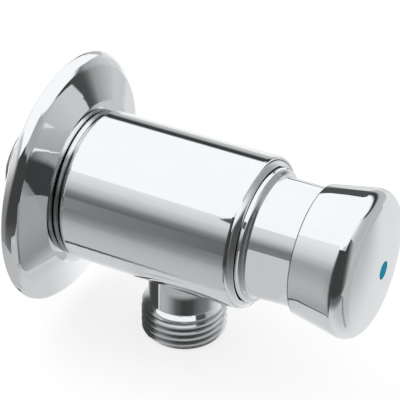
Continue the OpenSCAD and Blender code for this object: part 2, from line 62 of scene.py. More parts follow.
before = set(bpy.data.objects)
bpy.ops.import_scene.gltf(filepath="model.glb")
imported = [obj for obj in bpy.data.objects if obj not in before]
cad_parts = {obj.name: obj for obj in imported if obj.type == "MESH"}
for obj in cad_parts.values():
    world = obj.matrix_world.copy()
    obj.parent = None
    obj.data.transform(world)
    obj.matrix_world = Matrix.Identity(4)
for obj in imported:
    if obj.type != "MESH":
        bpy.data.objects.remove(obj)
CAD_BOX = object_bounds()
MM = 0.001
SEGMENTS = 240
ARC_STEP = math.radians(6)
SHARP_ANGLE = math.radians(33)
# The tap's axis runs from the wall, at y = 0, to the button, at -Y
ALONG_TAP = Matrix.Rotation(math.radians(90), 4, "X")
OUTLET_AT = -(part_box("outlet_nipple")[0].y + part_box("outlet_nipple")[1].y) / 2
OUTLET_DROP = -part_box("outlet_nipple")[0].z
TAIL_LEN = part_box("inlet_nipple")[1].y


# Sizes and colours that a user would change

def length_of(name, description, metres):
    """Property of a length."""
    return FloatProperty(name=name, description=description, default=metres, unit="LENGTH")


def colour_of(name, description, colour):
    """Property of a colour."""
    return FloatVectorProperty(name=name, description=description, default=colour, subtype="COLOR")


def level_of(name, description, level):
    """Property of a level of light."""
    return FloatProperty(name=name, description=description, default=level)


class TapSizes(bpy.types.PropertyGroup):
    """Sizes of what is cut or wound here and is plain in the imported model."""

    thread_pitch: length_of("Thread pitch", "Distance from one thread crest to the next", 1.814 * MM)
    thread_depth: length_of("Thread depth", "Depth of the thread from crest to root", 1.1 * MM)
    thread_radius: length_of("Thread radius", "Radius over the thread crests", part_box("outlet_nipple")[1].x)
    thread_chamfer: length_of("Thread chamfer", "Chamfer at the free end of a thread", 1.3 * MM)
    spring_wire: length_of("Spring wire", "Diameter of the return spring's wire", 1.5 * MM)
    spring_coils: IntProperty(name="Spring coils", description="Coils of the return spring", default=7)


class TapFinishes(bpy.types.PropertyGroup):
    """Colours of the finishes."""

    chrome: colour_of("Chrome", "Colour of polished chrome plate", (0.895, 0.910, 0.922))
    brass: colour_of("Brass", "Colour of bare turned brass", (0.72, 0.52, 0.22))
    steel: colour_of("Steel", "Colour of stainless steel", (0.60, 0.61, 0.62))
    rubber: colour_of("Rubber", "Colour of the seals", (0.022, 0.022, 0.024))
    plastic: colour_of("White plastic", "Colour of the cartridge's moulded pieces", (0.80, 0.79, 0.75))
    fibre: colour_of("Fibre", "Colour of the flat fibre washer", (0.33, 0.10, 0.05))
    dot: colour_of("Index dot", "Colour of the dot on the button", (0.002, 0.21, 0.32))


class TapStudio(bpy.types.PropertyGroup):
    """Levels of the studio."""

    softbox: level_of("Softbox", "Level of the large overhead softbox", 1.04)
    walls: level_of("Walls", "Level of the studio walls near the horizon", 0.54)
    dark: level_of("Dark side", "Level of the unlit side of the studio", 0.045)


# Outlines and turning

def unit(v):
    """Direction of a vector."""
    return v.normalized()


def corner(p, q, n, radius):
    """Points of the arc that rounds corner q between p and n."""
    u, v = unit(p - q), unit(n - q)
    half = math.acos(max(-1.0, min(1.0, u.dot(v)))) / 2
    reach = radius / math.tan(half)
    centre = q + unit(u + v) * (radius / math.sin(half))
    start, end = q + u * reach - centre, q + v * reach - centre
    sweep = math.atan2(start.cross(end), start.dot(end))
    steps = max(5, math.ceil(abs(sweep) / ARC_STEP))
    turned_by = [Matrix.Rotation(sweep * i / steps, 2) for i in range(steps + 1)]
    return [centre + m @ start for m in turned_by]


def outline(path):
    """Closed outline in millimetres from (radius, distance, optional rounding), with support points."""
    at = [Vector(p[:2]) for p in path]
    count = len(path)
    parts = [
        corner(at[i - 1], at[i], at[(i + 1) % count], p[2]) if len(p) == 3 else [at[i]]
        for i, p in enumerate(path)
    ]
    dense = []
    for i, part in enumerate(parts):
        dense.extend(part)
        dense.extend(supports(part[-1], parts[(i + 1) % count][0]))
    return [(p.x, p.y) for p in dense]


def supports(p, q, near=0.05, longest=2.0):
    """Points on a straight run that keep its shading true next to a rounding."""
    length = (q - p).length
    if length < 4 * near:
        return []
    inner = length - 2 * near
    steps = max(1, math.ceil(inner / longest))
    return [p.lerp(q, (near + inner * i / steps) / length) for i in range(steps + 1)]


def arc_points(centre, radius, start, sweep):
    """Points on an arc of an outline, in millimetres and radians."""
    steps = max(6, math.ceil(abs(sweep) / (ARC_STEP / 2)))
    angles = [start + sweep * i / steps for i in range(steps + 1)]
    return [(centre[0] + radius * math.cos(a), centre[1] + radius * math.sin(a)) for a in angles]


def hexagon(flats):
    """Radius of a hexagon at an angle, in millimetres."""
    def radius(angle):
        part = (angle + math.pi / 6) % (math.pi / 3) - math.pi / 6
        return flats / 2 / math.cos(part)
    return radius


def turned_mesh(name, rows, segments=SEGMENTS):
    """Closed mesh of a round outline about local Z. A radius is a number or a function of the angle."""
    points = []
    for radius, along in rows:
        for k in range(segments):
            a = 2 * math.pi * k / segments
            r = radius(a) if callable(radius) else radius
            points.append((r * math.cos(a) * MM, r * math.sin(a) * MM, along * MM))
    faces = []
    count = len(rows)
    for i in range(count):
        j = (i + 1) % count
        for k in range(segments):
            m = (k + 1) % segments
            faces.append((i * segments + k, i * segments + m, j * segments + m, j * segments + k))
    mesh = bpy.data.meshes.new(name)
    mesh.from_pydata(points, [], faces)
    return mesh


def shade_round(mesh):
    """Shades round faces smooth and keeps sharp edges."""
    mesh.shade_smooth()
    mesh.set_sharp_from_angle(angle=SHARP_ANGLE)


def tidy_mesh(mesh):
    """Merges doubles, points the faces outwards and shades round faces smooth."""
    bm = bmesh.new()
    bm.from_mesh(mesh)
    bmesh.ops.remove_doubles(bm, verts=bm.verts, dist=0.0004 * MM)
    bmesh.ops.recalc_face_normals(bm, faces=bm.faces)
    bm.to_mesh(mesh)
    bm.free()
    shade_round(mesh)


def show(name, mesh):
    """Object at the origin with that mesh."""
    piece = bpy.data.objects.new(name, mesh)
    bpy.context.scene.collection.objects.link(piece)
    return piece


def turned_piece(name, rows, place=ALONG_TAP, segments=SEGMENTS):
    """Object of a turned outline, put in place by its mesh."""
    mesh = turned_mesh(name, rows, segments)
    mesh.transform(place)
    tidy_mesh(mesh)
    return show(name, mesh)


def join_meshes(name, pieces):
    """One object from several, which are removed."""
    bm = bmesh.new()
    for piece in pieces:
        bm.from_mesh(piece.data)
        old = piece.data
        bpy.data.objects.remove(piece)
        bpy.data.meshes.remove(old)
    mesh = bpy.data.meshes.new(name)
    bm.to_mesh(mesh)
    bm.free()
    shade_round(mesh)
    return show(name, mesh)


def cut(piece, cutter):
    """Takes the cutter's shape out of a piece and removes the cutter."""
    modifier = piece.modifiers.new("Cut", "BOOLEAN")
    modifier.operation = "DIFFERENCE"
    modifier.solver = "EXACT"
    modifier.object = cutter
    bake_modifier(piece, modifier)
    bpy.data.objects.remove(cutter)


def bake_modifier(piece, modifier):
    """Turns a piece's modifier into plain mesh."""
    bpy.context.view_layer.update()
    graph = bpy.context.evaluated_depsgraph_get()
    mesh = bpy.data.meshes.new_from_object(piece.evaluated_get(graph))
    mesh.name = piece.name
    piece.modifiers.remove(modifier)
    piece.data = mesh
    if not mesh.polygons:
        raise RuntimeError(f"{piece.name} has no faces")
    shade_round(mesh)


def finish_piece(piece, body, slot, material, *nodes):
    """Gives a piece its material and body, in place of its CAD nodes; the slot is not used."""
    piece.data.materials.clear()
    piece.data.materials.append(material)
    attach(piece, body)
    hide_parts(*nodes)


# Node trees

class Wiring:
    """Adds linked nodes to a tree in few words."""

    def __init__(self, tree):
        self.tree = tree

    def add(self, kind, **settings):
        node = self.tree.nodes.new(kind)
        for key, value in settings.items():
            setattr(node, key, value)
        return node

    def fed(self, kind, values, **settings):
        """Node with those inputs and settings."""
        node = self.add(kind, **settings)
        for key, value in values.items():
            self.put(node.inputs[key], value)
        return node

    def put(self, socket, value):
        """Links a socket, or sets its value."""
        if isinstance(value, bpy.types.NodeSocket):
            self.tree.links.new(value, socket)
        else:
            socket.default_value = value

    def math(self, operation, *values, clamp=False):
        given = dict(enumerate(values))
        return self.fed("ShaderNodeMath", given, operation=operation, use_clamp=clamp).outputs[0]

    def plus(self, a, b, clamp=False):
        return self.math("ADD", a, b, clamp=clamp)

    def minus(self, a, b):
        return self.math("SUBTRACT", a, b)

    def times(self, a, b):
        return self.math("MULTIPLY", a, b)

    def vector(self, operation, *values):
        node = self.fed("ShaderNodeVectorMath", dict(enumerate(values)), operation=operation)
        return node.outputs["Value" if operation == "LENGTH" else "Vector"]

    def smooth(self, value, low, high, start=0.0, end=1.0):
        """Smooth step of a value from start to end."""
        given = {"Value": value, "From Min": low, "From Max": high, "To Min": start, "To Max": end}
        return self.fed("ShaderNodeMapRange", given, interpolation_type="SMOOTHSTEP").outputs["Result"]

    def mix(self, factor, a, b):
        """a at factor 0 and b at 1, for plain numbers."""
        given = {"Factor": factor, "A": a, "B": b}
        return self.fed("ShaderNodeMix", given, data_type="FLOAT").outputs["Result"]

    def blend(self, factor, a, b):
        """a at factor 0 and b at 1, for colours."""
        given = {"Factor": factor, 6: a, 7: b}
        return self.fed("ShaderNodeMix", given, data_type="RGBA").outputs[2]

    def split(self, vector):
        """Three parts of a vector."""
        return tuple(self.fed("ShaderNodeSeparateXYZ", {0: vector}).outputs)

    def ramp(self, value, stops):
        """Level by straight runs between (value, level) stops."""
        low, high = stops[0][0], stops[-1][0]
        scaled = self.fed("ShaderNodeMapRange", {"Value": value, "From Min": low, "From Max": high})
        node = self.fed("ShaderNodeValToRGB", {"Fac": scaled.outputs["Result"]})
        elements = node.color_ramp.elements
        while len(elements) < len(stops):
            elements.new(0.5)
        for element, (place, level) in zip(elements, stops):
            element.position = (place - low) / (high - low)
            element.color = (level, level, level, 1.0)
        return node.outputs["Color"]

    def grey(self, level):
        """Faintly cool grey of a level."""
        parts = {0: self.times(level, 0.990), 1: level, 2: self.times(level, 1.008)}
        return self.fed("ShaderNodeCombineColor", parts).outputs[0]

    def noise(self, coordinates, scale, detail=3.0, roughness=0.5):
        given = {"Vector": coordinates, "Scale": scale, "Detail": detail, "Roughness": roughness}
        return self.fed("ShaderNodeTexNoise", given).outputs["Fac"]

    def end(self, output, factor, first, second):
        """Ends a tree in the first shader at factor 0 and the second at 1."""
        mixed = self.fed("ShaderNodeMixShader", {"Fac": factor, 1: first, 2: second})
        self.fed(output, {"Surface": mixed.outputs[0]})


def group_tree(name, lengths, counts):
    """Geometry node tree with those inputs and defaults, a material and one output."""
    tree = bpy.data.node_groups.new(name, "GeometryNodeTree")
    for kind, inputs in (("NodeSocketFloat", lengths), ("NodeSocketInt", counts)):
        for label, default in inputs.items():
            socket = tree.interface.new_socket(label, in_out="INPUT", socket_type=kind)
            socket.default_value = default
    tree.interface.new_socket("Material", in_out="INPUT", socket_type="NodeSocketMaterial")
    tree.interface.new_socket("Geometry", in_out="OUTPUT", socket_type="NodeSocketGeometry")
    wiring = Wiring(tree)
    given = wiring.add("NodeGroupInput").outputs
    return tree, wiring, given


def about_axis(w, geometry, radius, angle, along):
    """Geometry with its points moved to places about the local Z axis."""
    place = w.fed("ShaderNodeCombineXYZ", {
        "X": w.times(radius, w.math("COSINE", angle)),
        "Y": w.times(radius, w.math("SINE", angle)),
        "Z": along,
    })
    moved = w.fed("GeometryNodeSetPosition", {"Geometry": geometry, "Position": place.outputs[0]})
    return moved.outputs["Geometry"]


def end_tree(wiring, geometry, material):
    """Ends a tree in plain geometry with its material."""
    realized = wiring.fed("GeometryNodeRealizeInstances", {"Geometry": geometry})
    painted = wiring.fed("GeometryNodeSetMaterial",
                         {"Geometry": realized.outputs["Geometry"], "Material": material})
    wiring.fed("NodeGroupOutput", {0: painted.outputs["Geometry"]})


def piece_from_tree(name, tree, values):
    """Plain mesh object made by a geometry node tree with those inputs."""
    piece = show(name, bpy.data.meshes.new(name))
    modifier = piece.modifiers.new("Make", "NODES")
    modifier.node_group = tree
    for item in tree.interface.items_tree:
        if item.in_out == "INPUT" and item.name in values:
            modifier[item.identifier] = values[item.name]
    bake_modifier(piece, modifier)
    return piece


def thread_tree():
    """Tree of a cut pipe thread: a closed sleeve whose rows of points follow the helix."""
    tree, w, given = group_tree("Pipe thread", {
        "Radius": 10 * MM, "Pitch": 1.8 * MM, "Depth": 1.1 * MM, "Length": 10 * MM, "Chamfer": 1.3 * MM,
        "Lead": 0.8 * MM, "Core": 9 * MM,
    }, {"Segments": 120, "Rows": 100, "Rows per pitch": 16})
    grid = w.fed("GeometryNodeMeshGrid",
                 {"Size X": 1.0, "Size Y": 1.0, "Vertices X": w.plus(given["Segments"], 1),
                  "Vertices Y": given["Rows"]})
    across, down, _ = w.split(w.add("GeometryNodeInputPosition").outputs[0])
    turn = w.plus(across, 0.5)
    last = w.minus(given["Rows"], 1)
    row = w.math("ROUND", w.times(w.plus(down, 0.5), last))
    pitches = w.math("DIVIDE", w.minus(row, 1), given["Rows per pitch"])
    along = w.times(w.minus(w.plus(pitches, turn), 1), given["Pitch"])
    along = w.math("MINIMUM", w.math("MAXIMUM", along, 0), given["Length"])
    # Cut profile: flanks between a narrow flat crest and a narrow rounded root
    wave = w.math("PINGPONG", w.plus(pitches, 1e-5), 0.5)
    height = w.smooth(wave, 0.05, 0.43)
    height = w.mix(0.35, w.times(wave, 2.0), height)
    cut_r = w.plus(w.minus(given["Radius"], given["Depth"]), w.times(height, given["Depth"]))
    to_end = w.minus(given["Length"], along)
    chamfer = w.minus(given["Radius"], w.math("MAXIMUM", w.minus(given["Chamfer"], to_end), 0))
    slope = w.math("DIVIDE", given["Depth"], given["Lead"])
    lead = w.minus(given["Radius"], w.times(w.math("MAXIMUM", w.minus(given["Lead"], along), 0), slope))
    radius = w.math("MINIMUM", w.math("MINIMUM", cut_r, chamfer), lead)
    # First and last rows close the sleeve on its core
    is_core = w.plus(w.math("LESS_THAN", row, 0.5), w.math("GREATER_THAN", row, w.minus(last, 1.5)))
    radius = w.mix(is_core, radius, given["Core"])
    is_top = w.plus(w.math("LESS_THAN", row, 0.5), w.math("GREATER_THAN", row, w.minus(last, 0.5)))
    is_foot = w.math("COMPARE", row, w.minus(last, 1), 0.25)
    along = w.mix(is_top, along, 0.0)
    along = w.mix(is_foot, along, given["Length"])
    angle = w.times(turn, 2 * math.pi)
    moved = about_axis(w, grid.outputs["Mesh"], radius, angle, along)
    merged = w.fed("GeometryNodeMergeByDistance", {"Geometry": moved, "Distance": 0.0005 * MM})
    end_tree(w, merged.outputs["Geometry"], given["Material"])
    return tree


def thread_piece(name, tree, length, core, lead, place, material):
    """Threaded sleeve in place, with its free end at the far end of its length. Lengths are in metres."""
    sizes = bpy.context.scene.tap_sizes
    per_pitch = 16
    rows = per_pitch * (math.ceil(length / sizes.thread_pitch) + 1) + 4
    piece = piece_from_tree(name, tree, {
        "Radius": sizes.thread_radius, "Pitch": sizes.thread_pitch, "Depth": sizes.thread_depth,
        "Length": length, "Chamfer": sizes.thread_chamfer, "Lead": lead, "Core": core,
        "Segments": 144, "Rows": rows, "Rows per pitch": per_pitch, "Material": material,
    })
    piece.data.transform(place)
    tidy_mesh(piece.data)
    return piece


def spring_tree():
    """Tree of a compression spring along the local Z axis: wire on a helix with close coils at both ends."""
    tree, w, given = group_tree("Return spring", {
        "Radius": 8 * MM, "Wire radius": 0.75 * MM, "Start": 0.0, "End": 20 * MM, "End pitch": 2 * MM,
    }, {"Coils": 7, "Points": 300})
    line = w.add("GeometryNodeCurvePrimitiveLine")
    resampled = w.fed("GeometryNodeResampleCurve",
                      {"Curve": line.outputs["Curve"], "Count": given["Points"]})
    share = w.math("DIVIDE", w.add("GeometryNodeInputIndex").outputs[0], w.minus(given["Points"], 1))
    turns = w.times(share, given["Coils"])
    free = w.minus(given["Coils"], 2)
    span = w.minus(w.minus(given["End"], given["Start"]), w.times(given["End pitch"], 2))
    first = w.math("MINIMUM", turns, 1)
    final = w.math("MAXIMUM", w.minus(turns, w.plus(free, 1)), 0)
    middle = w.minus(w.minus(turns, first), final)
    along = w.plus(w.times(w.plus(first, final), given["End pitch"]),
                   w.times(middle, w.math("DIVIDE", span, free)))
    along = w.plus(along, given["Start"])
    angle = w.times(turns, 2 * math.pi)
    moved = about_axis(w, resampled.outputs["Curve"], given["Radius"], angle, along)
    ring = w.fed("GeometryNodeCurvePrimitiveCircle", {"Resolution": 16, "Radius": given["Wire radius"]})
    swept = w.fed("GeometryNodeCurveToMesh", {
        "Curve": moved, "Profile Curve": ring.outputs["Curve"], "Fill Caps": True})
    end_tree(w, swept.outputs["Mesh"], given["Material"])
    return tree


# Finishes

def finish_material(name, metal=1.0):
    """New material with its wiring, its shader and object coordinates."""
    material = bpy.data.materials.new(name)
    material.use_nodes = True
    tree = material.node_tree
    shader = tree.nodes["Principled BSDF"]
    shader.inputs["Metallic"].default_value = metal
    w = Wiring(tree)
    return material, w, shader, w.add("ShaderNodeTexCoord").outputs["Object"]


def paint(w, shader, colour, rough, height, strength, distance):
    """Gives a shader its colour, its roughness and its relief."""
    relief = w.fed("ShaderNodeBump", {"Height": height, "Strength": strength, "Distance": distance})
    for name, value in (("Base Color", colour), ("Roughness", rough), ("Normal", relief.outputs["Normal"])):
        w.put(shader.inputs[name], value)


def stretched(w, coordinates, scale):
    """Coordinates scaled differently along each axis."""
    node = w.fed("ShaderNodeMapping", {"Vector": coordinates, "Scale": scale})
    return node.outputs["Vector"]


def shade(colour, share):
    """Colour times a share, as a colour socket's value."""
    return tuple(c * share for c in colour) + (1.0,)


def chrome_finish(name, colour, rim_at=None, gap_shade_share=0.16, unshaded_above=None):
    """Polished plate: haze, fine turning lines, a buffed surface's slight wave, perhaps painted shade at a
    rim.

    Above a given height, the painted shade is left off the rim's left side.
    """
    material, w, shader, at = finish_material(name)
    haze = w.noise(at, 160.0, 5.0, 0.6)
    lines = w.noise(stretched(w, at, (260.0, 5200.0, 260.0)), 1.0, 2.0)
    plate = w.blend(w.smooth(haze, 0.3, 0.7), shade(colour, 0.985), shade(colour, 1.0))
    # Painted shade: a thin band at the rim is darkened, for the gap or crevice beside the next part
    if rim_at is not None:
        gap_shade = w.smooth(w.split(at)[1], rim_at - 0.34 * MM, rim_at - 0.20 * MM)
        # Painted light: above that height the rim's left side keeps the plate's colour, without the painted
        # shade
        if unshaded_above is not None:
            side, _, height = w.split(at)
            shade_left_off = w.times(w.smooth(height, unshaded_above - 1.0 * MM, unshaded_above + 1.0 * MM),
                             w.smooth(side, 1.0 * MM, -3.0 * MM))
            gap_shade = w.times(gap_shade, w.minus(1.0, shade_left_off))
        plate = w.blend(gap_shade, plate, shade(colour, gap_shade_share))
    rough = w.plus(w.smooth(haze, 0.35, 0.75, 0.028, 0.055), w.times(lines, 0.012))
    paint(w, shader, plate, rough, w.noise(at, 95.0, 1.0), 0.10, 0.02 * MM)
    return material


def thread_finish(name, colour, axis, radius, depth):
    """Plated thread: worn crests smoother than the roots, and painted shade that darkens the roots, told
    apart by distance from the thread's axis.
    """
    material, w, shader, at = finish_material(name)
    centred = w.vector("SUBTRACT", at, axis[0])
    across = w.vector("LENGTH", w.vector("MULTIPLY", centred, axis[1]))
    crest_wear_and_root_shade = w.smooth(across, radius - 0.85 * depth, radius - 0.1 * depth)
    grain = w.noise(at, 900.0, 4.0, 0.6)
    crest_wear_and_root_shade = w.plus(crest_wear_and_root_shade, w.times(w.minus(grain, 0.5), 0.25), clamp=True)
    # Painted shade: the roots are darkened to 0.40 of the plate's colour; the crests' lower roughness is wear
    plate = w.blend(crest_wear_and_root_shade, shade(colour, 0.40), shade(colour, 1.0))
    rough = w.plus(w.mix(crest_wear_and_root_shade, 0.24, 0.10), w.times(grain, 0.08))
    paint(w, shader, plate, rough, grain, 0.10, 0.03 * MM)
    return material


def turned_metal(name, colour, rough):
    """Bare turned metal with cutting lines and slight tarnish."""
    material, w, shader, at = finish_material(name)
    tarnish = w.noise(at, 220.0, 4.0, 0.6)
    lines = w.noise(stretched(w, at, (300.0, 6000.0, 300.0)), 1.0, 2.0)
    metal = w.blend(w.smooth(tarnish, 0.35, 0.75), shade(colour, 0.78), shade(colour, 1.0))
    paint(w, shader, metal, w.plus(rough, w.times(lines, 0.16)), lines, 0.15, 0.02 * MM)
    return material


def soft_finish(name, colour, rough, grain_scale, grain_share, bump_share, gloss=0.5):
    """Rubber, fibre or moulded plastic: fine grain in colour, gloss and surface."""
    material, w, shader, at = finish_material(name, metal=0.0)
    grain = w.noise(at, grain_scale, 4.0, 0.6)
    cloud = w.noise(at, grain_scale / 8, 2.0)
    both = w.times(w.plus(grain, cloud), 0.5)
    tint = w.blend(w.smooth(both, 0.3, 0.7), shade(colour, 1 - grain_share), shade(colour, 1 + grain_share))
    shader.inputs["IOR"].default_value = 1.0 + gloss
    paint(w, shader, tint, w.smooth(both, 0.3, 0.7, rough - 0.06, rough + 0.06), grain, bump_share, 0.03 * MM)
    return material


def make_finishes():
    """All finishes by the record's slot names, and the two thread finishes."""
    colours = bpy.context.scene.tap_finishes
    sizes = bpy.context.scene.tap_sizes
    radius, depth = sizes.thread_radius, sizes.thread_depth
    down = ((0.0, -OUTLET_AT, 0.0), (1.0, 1.0, 0.0))
    back = ((0.0, 0.0, 0.0), (1.0, 0.0, 1.0))
    return {
        "chrome": chrome_finish("chrome_plate", colours.chrome),
        # The button's rear rim gets a painted shade line, for the gap against the neck behind it
        "button_chrome_gap_shade": chrome_finish("button_plate_gap_shade", colours.chrome, rim_at=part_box("button_cap")[1].y),
        # The body's rear gets painted shade in the crevice under the flange's collar, left off on its upper
        # left side
        "body_chrome_collar_shade": chrome_finish("body_plate_collar_shade", colours.chrome, rim_at=-8.1 * MM, gap_shade_share=0.34,
                                     unshaded_above=14.0 * MM),
        # Both thread finishes paint shade into the thread roots
        "outlet_thread": thread_finish("outlet_thread_root_shade", colours.chrome, down, radius, depth),
        "inlet_thread": thread_finish("inlet_thread_root_shade", colours.chrome, back, radius, depth),
        "brass": turned_metal("turned_brass", colours.brass, 0.22),
        "steel": turned_metal("stainless_steel", colours.steel, 0.20),
        "rubber": soft_finish("black_rubber", colours.rubber, 0.55, 1400.0, 0.25, 0.25),
        "white_plastic": soft_finish("white_moulding", colours.plastic, 0.38, 700.0, 0.03, 0.06),
        "fibre": soft_finish("red_fibre", colours.fibre, 0.80, 2200.0, 0.35, 0.60),
        "blue_plastic": soft_finish("blue_index", colours.dot, 0.22, 900.0, 0.05, 0.05, 0.04),
    }


FINISHES = {}


# Pieces

class TAP_OT_body(bpy.types.Operator):
    """Turn the valve body and cut its outlet pocket."""

    bl_idname = "tap.body"
    bl_label = "Valve body"

    def execute(self, context):
        body = turned_piece("valve_body_turned", outline([
            (9.03, 4.7), (15.4, 4.7, 0.3), (15.4, 5.09), (14.6, 5.09), (14.6, 6.19), (15.4, 6.19),
            (15.4, 6.575), (18.0, 6.575, 0.55), (18.0, 7.875, 0.55), (16.8, 7.875), (16.8, 8.225),
            (18.5, 8.225, 1.4), (18.5, 53.4, 1.895), (16.6, 53.4), (16.6, 51.3), (14.25, 51.3),
            (14.25, 41.38), (12.5, 41.38), (12.5, 24.0), (11.4, 24.0), (11.4, 10.0), (9.03, 10.0)]))
        pocket = Matrix.Translation((0, -OUTLET_AT, 0))
        cutter = turned_piece("outlet_pocket", outline([
            (0.0, -22.0), (9.18, -22.0), (9.18, -16.3), (8.03, -16.3), (8.03, -13.4), (6.0, -13.4),
            (6.0, -2.0), (0.0, -2.0)]), pocket, 120)
        cut(body, cutter)
        finish_piece(body, "valve", "chrome", FINISHES["body_chrome_collar_shade"], "valve_body")
        return {"FINISHED"}


class TAP_OT_flange(bpy.types.Operator):
    """Turn the wall flange with its rolled rim and concave sweep."""

    bl_idname = "tap.flange"
    bl_label = "Wall flange"

    def execute(self, context):
        flange = turned_piece("wall_flange_spun", outline([
            (28.6, 0.0), (30.1, 0.0, 0.3), (31.25, 0.85, 0.3), (30.35, 2.05, 5.0), (28.4, 3.35, 4.0),
            (23.4, 5.2, 12.0), (20.3, 6.4, 0.3), (15.7, 6.4, 0.3), (15.7, 4.4), (18.8, 4.4), (23.4, 3.2),
            (28.6, 1.35)]))
        finish_piece(flange, "valve", "chrome", FINISHES["chrome"], "wall_flange")
        return {"FINISHED"}


class TAP_OT_nipples(bpy.types.Operator):
    """Turn the outlet and inlet nipples and cut their pipe threads."""

    bl_idname = "tap.nipples"
    bl_label = "Threaded nipples"

    def execute(self, context):
        sizes = context.scene.tap_sizes
        tree = thread_tree()
        root = (sizes.thread_radius - sizes.thread_depth) / MM
        # A sleeve's core lies a little under the thread's root, and what carries it reaches into it
        core = root - 0.12
        carrier = core + 0.1
        drop = OUTLET_DROP / MM
        top = drop - 10.0
        down = Matrix.Translation((0, -OUTLET_AT, 0))
        neck = turned_piece("outlet_neck", outline([
            (6.0, -13.45), (7.98, -13.45), (7.98, -14.4), (7.53, -14.4), (7.53, -15.4), (7.98, -15.4),
            (7.98, -16.3), (8.88, -16.3), (8.88, -(top + 0.3), 0.25), (10.0, -(top + 1.4), 0.25),
            (carrier, -(top + 2.1)), (carrier, -(drop - 0.2)), (7.0, -drop), (7.0, -20.2),
            (6.0, -20.2)]), down)
        start = top + 1.35
        flip = down @ Matrix.Translation((0, 0, -start * MM)) @ Matrix.Rotation(math.pi, 4, "X")
        thread = thread_piece("outlet_screw", tree, (drop - start) * MM, core * MM, 0.5 * MM,
                              flip, FINISHES["outlet_thread"])
        finish_piece(neck, "valve", "chrome", FINISHES["chrome"], "outlet_nipple")
        finish_piece(thread, "valve", "threaded_chrome", FINISHES["outlet_thread"], "outlet_nipple")

        tail = TAIL_LEN / MM
        hex_rear, hex_front, hex_bore = 0.4, 3.7, 8.6
        flats = hexagon(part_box("inlet_seal")[1].x / MM * 2)
        neck_in = turned_piece("inlet_core", outline([
            (6.48, -tail + 1.4), (8.23, -tail + 1.4), (8.23, -tail), (carrier, -tail + 0.02),
            (carrier, 0.6), (8.98, 0.6), (8.98, 9.95, 0.2), (6.48, 9.95, 0.2)]))
        corner_r = flats(math.pi / 6)

        def chamfered(near):
            cone = corner_r - 1.0 + max(0.0, near) * 1.7
            return lambda angle: min(flats(angle), cone)

        steps = (hex_rear, 0.55, 0.7, 0.85, 1.0, 3.1, 3.25, 3.4, 3.55, hex_front)
        sides = [(chamfered(min(s - hex_rear, hex_front - s)), s) for s in steps]
        hexed = turned_piece("inlet_hexagon", [(hex_bore, hex_rear), *sides, (hex_bore, hex_front)])
        inlet = join_meshes("inlet_nipple_turned", [neck_in, hexed])
        rear = Matrix.Translation((0, -hex_rear * MM, 0)) @ Matrix.Rotation(math.radians(-90), 4, "X")
        tail_thread = thread_piece("inlet_screw", tree, (tail + hex_rear) * MM, core * MM, 0.8 * MM,
                                   rear, FINISHES["inlet_thread"])
        finish_piece(inlet, "valve", "threaded_chrome", FINISHES["chrome"], "inlet_nipple")
        finish_piece(tail_thread, "valve", "threaded_chrome", FINISHES["inlet_thread"], "inlet_nipple")
        return {"FINISHED"}


class TAP_OT_bonnet(bpy.types.Operator):
    """Turn the bonnet with its collar, neck and hexagon."""

    bl_idname = "tap.bonnet"
    bl_label = "Bonnet"

    def execute(self, context):
        rows = outline([
            (12.25, 41.43), (14.2, 41.43, 0.4), (14.2, 51.3), (14.4, 51.3), (14.4, 52.55), (15.7, 52.55),
            (15.7, 51.3), (16.3, 51.3), (16.3, 54.9, 0.7), (14.55, 54.9, 0.7), (14.55, 68.15),
            (13.55, 68.15), (13.55, 70.25), (14.55, 70.25), (14.55, 71.4, 0.4), (11.37, 71.4),
            (11.37, 67.0)])
        socket = hexagon(19.0)
        rows += [(socket, 67.0), (socket, 64.5)]
        rows += [(7.05, 64.5), (7.05, 61.4), (6.05, 61.4), (6.05, 55.5), (4.12, 55.5), (4.12, 53.0),
                 (12.25, 53.0)]
        bonnet = turned_piece("bonnet_turned", rows)
        finish_piece(bonnet, "valve", "chrome", FINISHES["chrome"], "bonnet")
        return {"FINISHED"}


class TAP_OT_button(bpy.types.Operator):
    """Turn the push button and its index dot."""

    bl_idname = "tap.button"
    bl_label = "Push button"

    def execute(self, context):
        front = -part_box("index_dot")[0].y / MM
        rear = -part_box("button_cap")[1].y / MM
        edge, fillet, dome, bevel, hole = 15.8, 3.9, 2.7, 0.12, 2.2
        corner_at = Vector((18.4, front - dome))
        dome_r = (corner_at.x ** 2 + dome ** 2) / (2 * dome)
        dome_at = Vector((0.0, front - dome_r))
        # The edge's rounding touches the flared side and the dome
        start = Vector((edge, rear))
        flare = unit(corner_at - start)
        inward = Vector((-flare.y, flare.x))
        off = start + inward * fillet - dome_at
        reach = dome_r - fillet
        run = -flare.dot(off) + math.sqrt(flare.dot(off) ** 2 - off.dot(off) + reach ** 2)
        fillet_at = start + inward * fillet + flare * run
        side_angle = math.atan2(-inward.y, -inward.x)
        dome_angle = math.atan2(fillet_at.y - dome_at.y, fillet_at.x - dome_at.x)
        hole_angle = math.acos(hole / dome_r)
        rows = [(edge - bevel, rear), (edge, rear + bevel)]
        rows += [(p.x, p.y) for p in supports(Vector(rows[-1]), fillet_at - inward * fillet)]
        rows += arc_points(fillet_at, fillet, side_angle, dome_angle - side_angle)
        rows += arc_points(dome_at, dome_r, dome_angle, hole_angle - dome_angle)
        rows += outline([
            (hole, 80.4), (1.3, 80.4), (1.3, 78.5), (4.05, 78.5), (4.05, 75.0), (6.5, 75.0), (6.5, 79.8),
            (14.85, 79.8, 1.5), (14.85, rear), (edge - bevel, rear)])[:-4]
        cap = turned_piece("button_cap_turned", rows)
        finish_piece(cap, "button", "chrome", FINISHES["button_chrome_gap_shade"], "button_cap")
        dot_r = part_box("index_dot")[1].x / MM
        dot = turned_piece("index_dot_moulded", outline([
            (0.0, front - 1.2), (dot_r, front - 1.2), (dot_r, front - 0.06, 0.28), (0.0, front)]),
            segments=96)
        finish_piece(dot, "button", "blue_plastic", FINISHES["blue_plastic"], "index_dot")
        return {"FINISHED"}


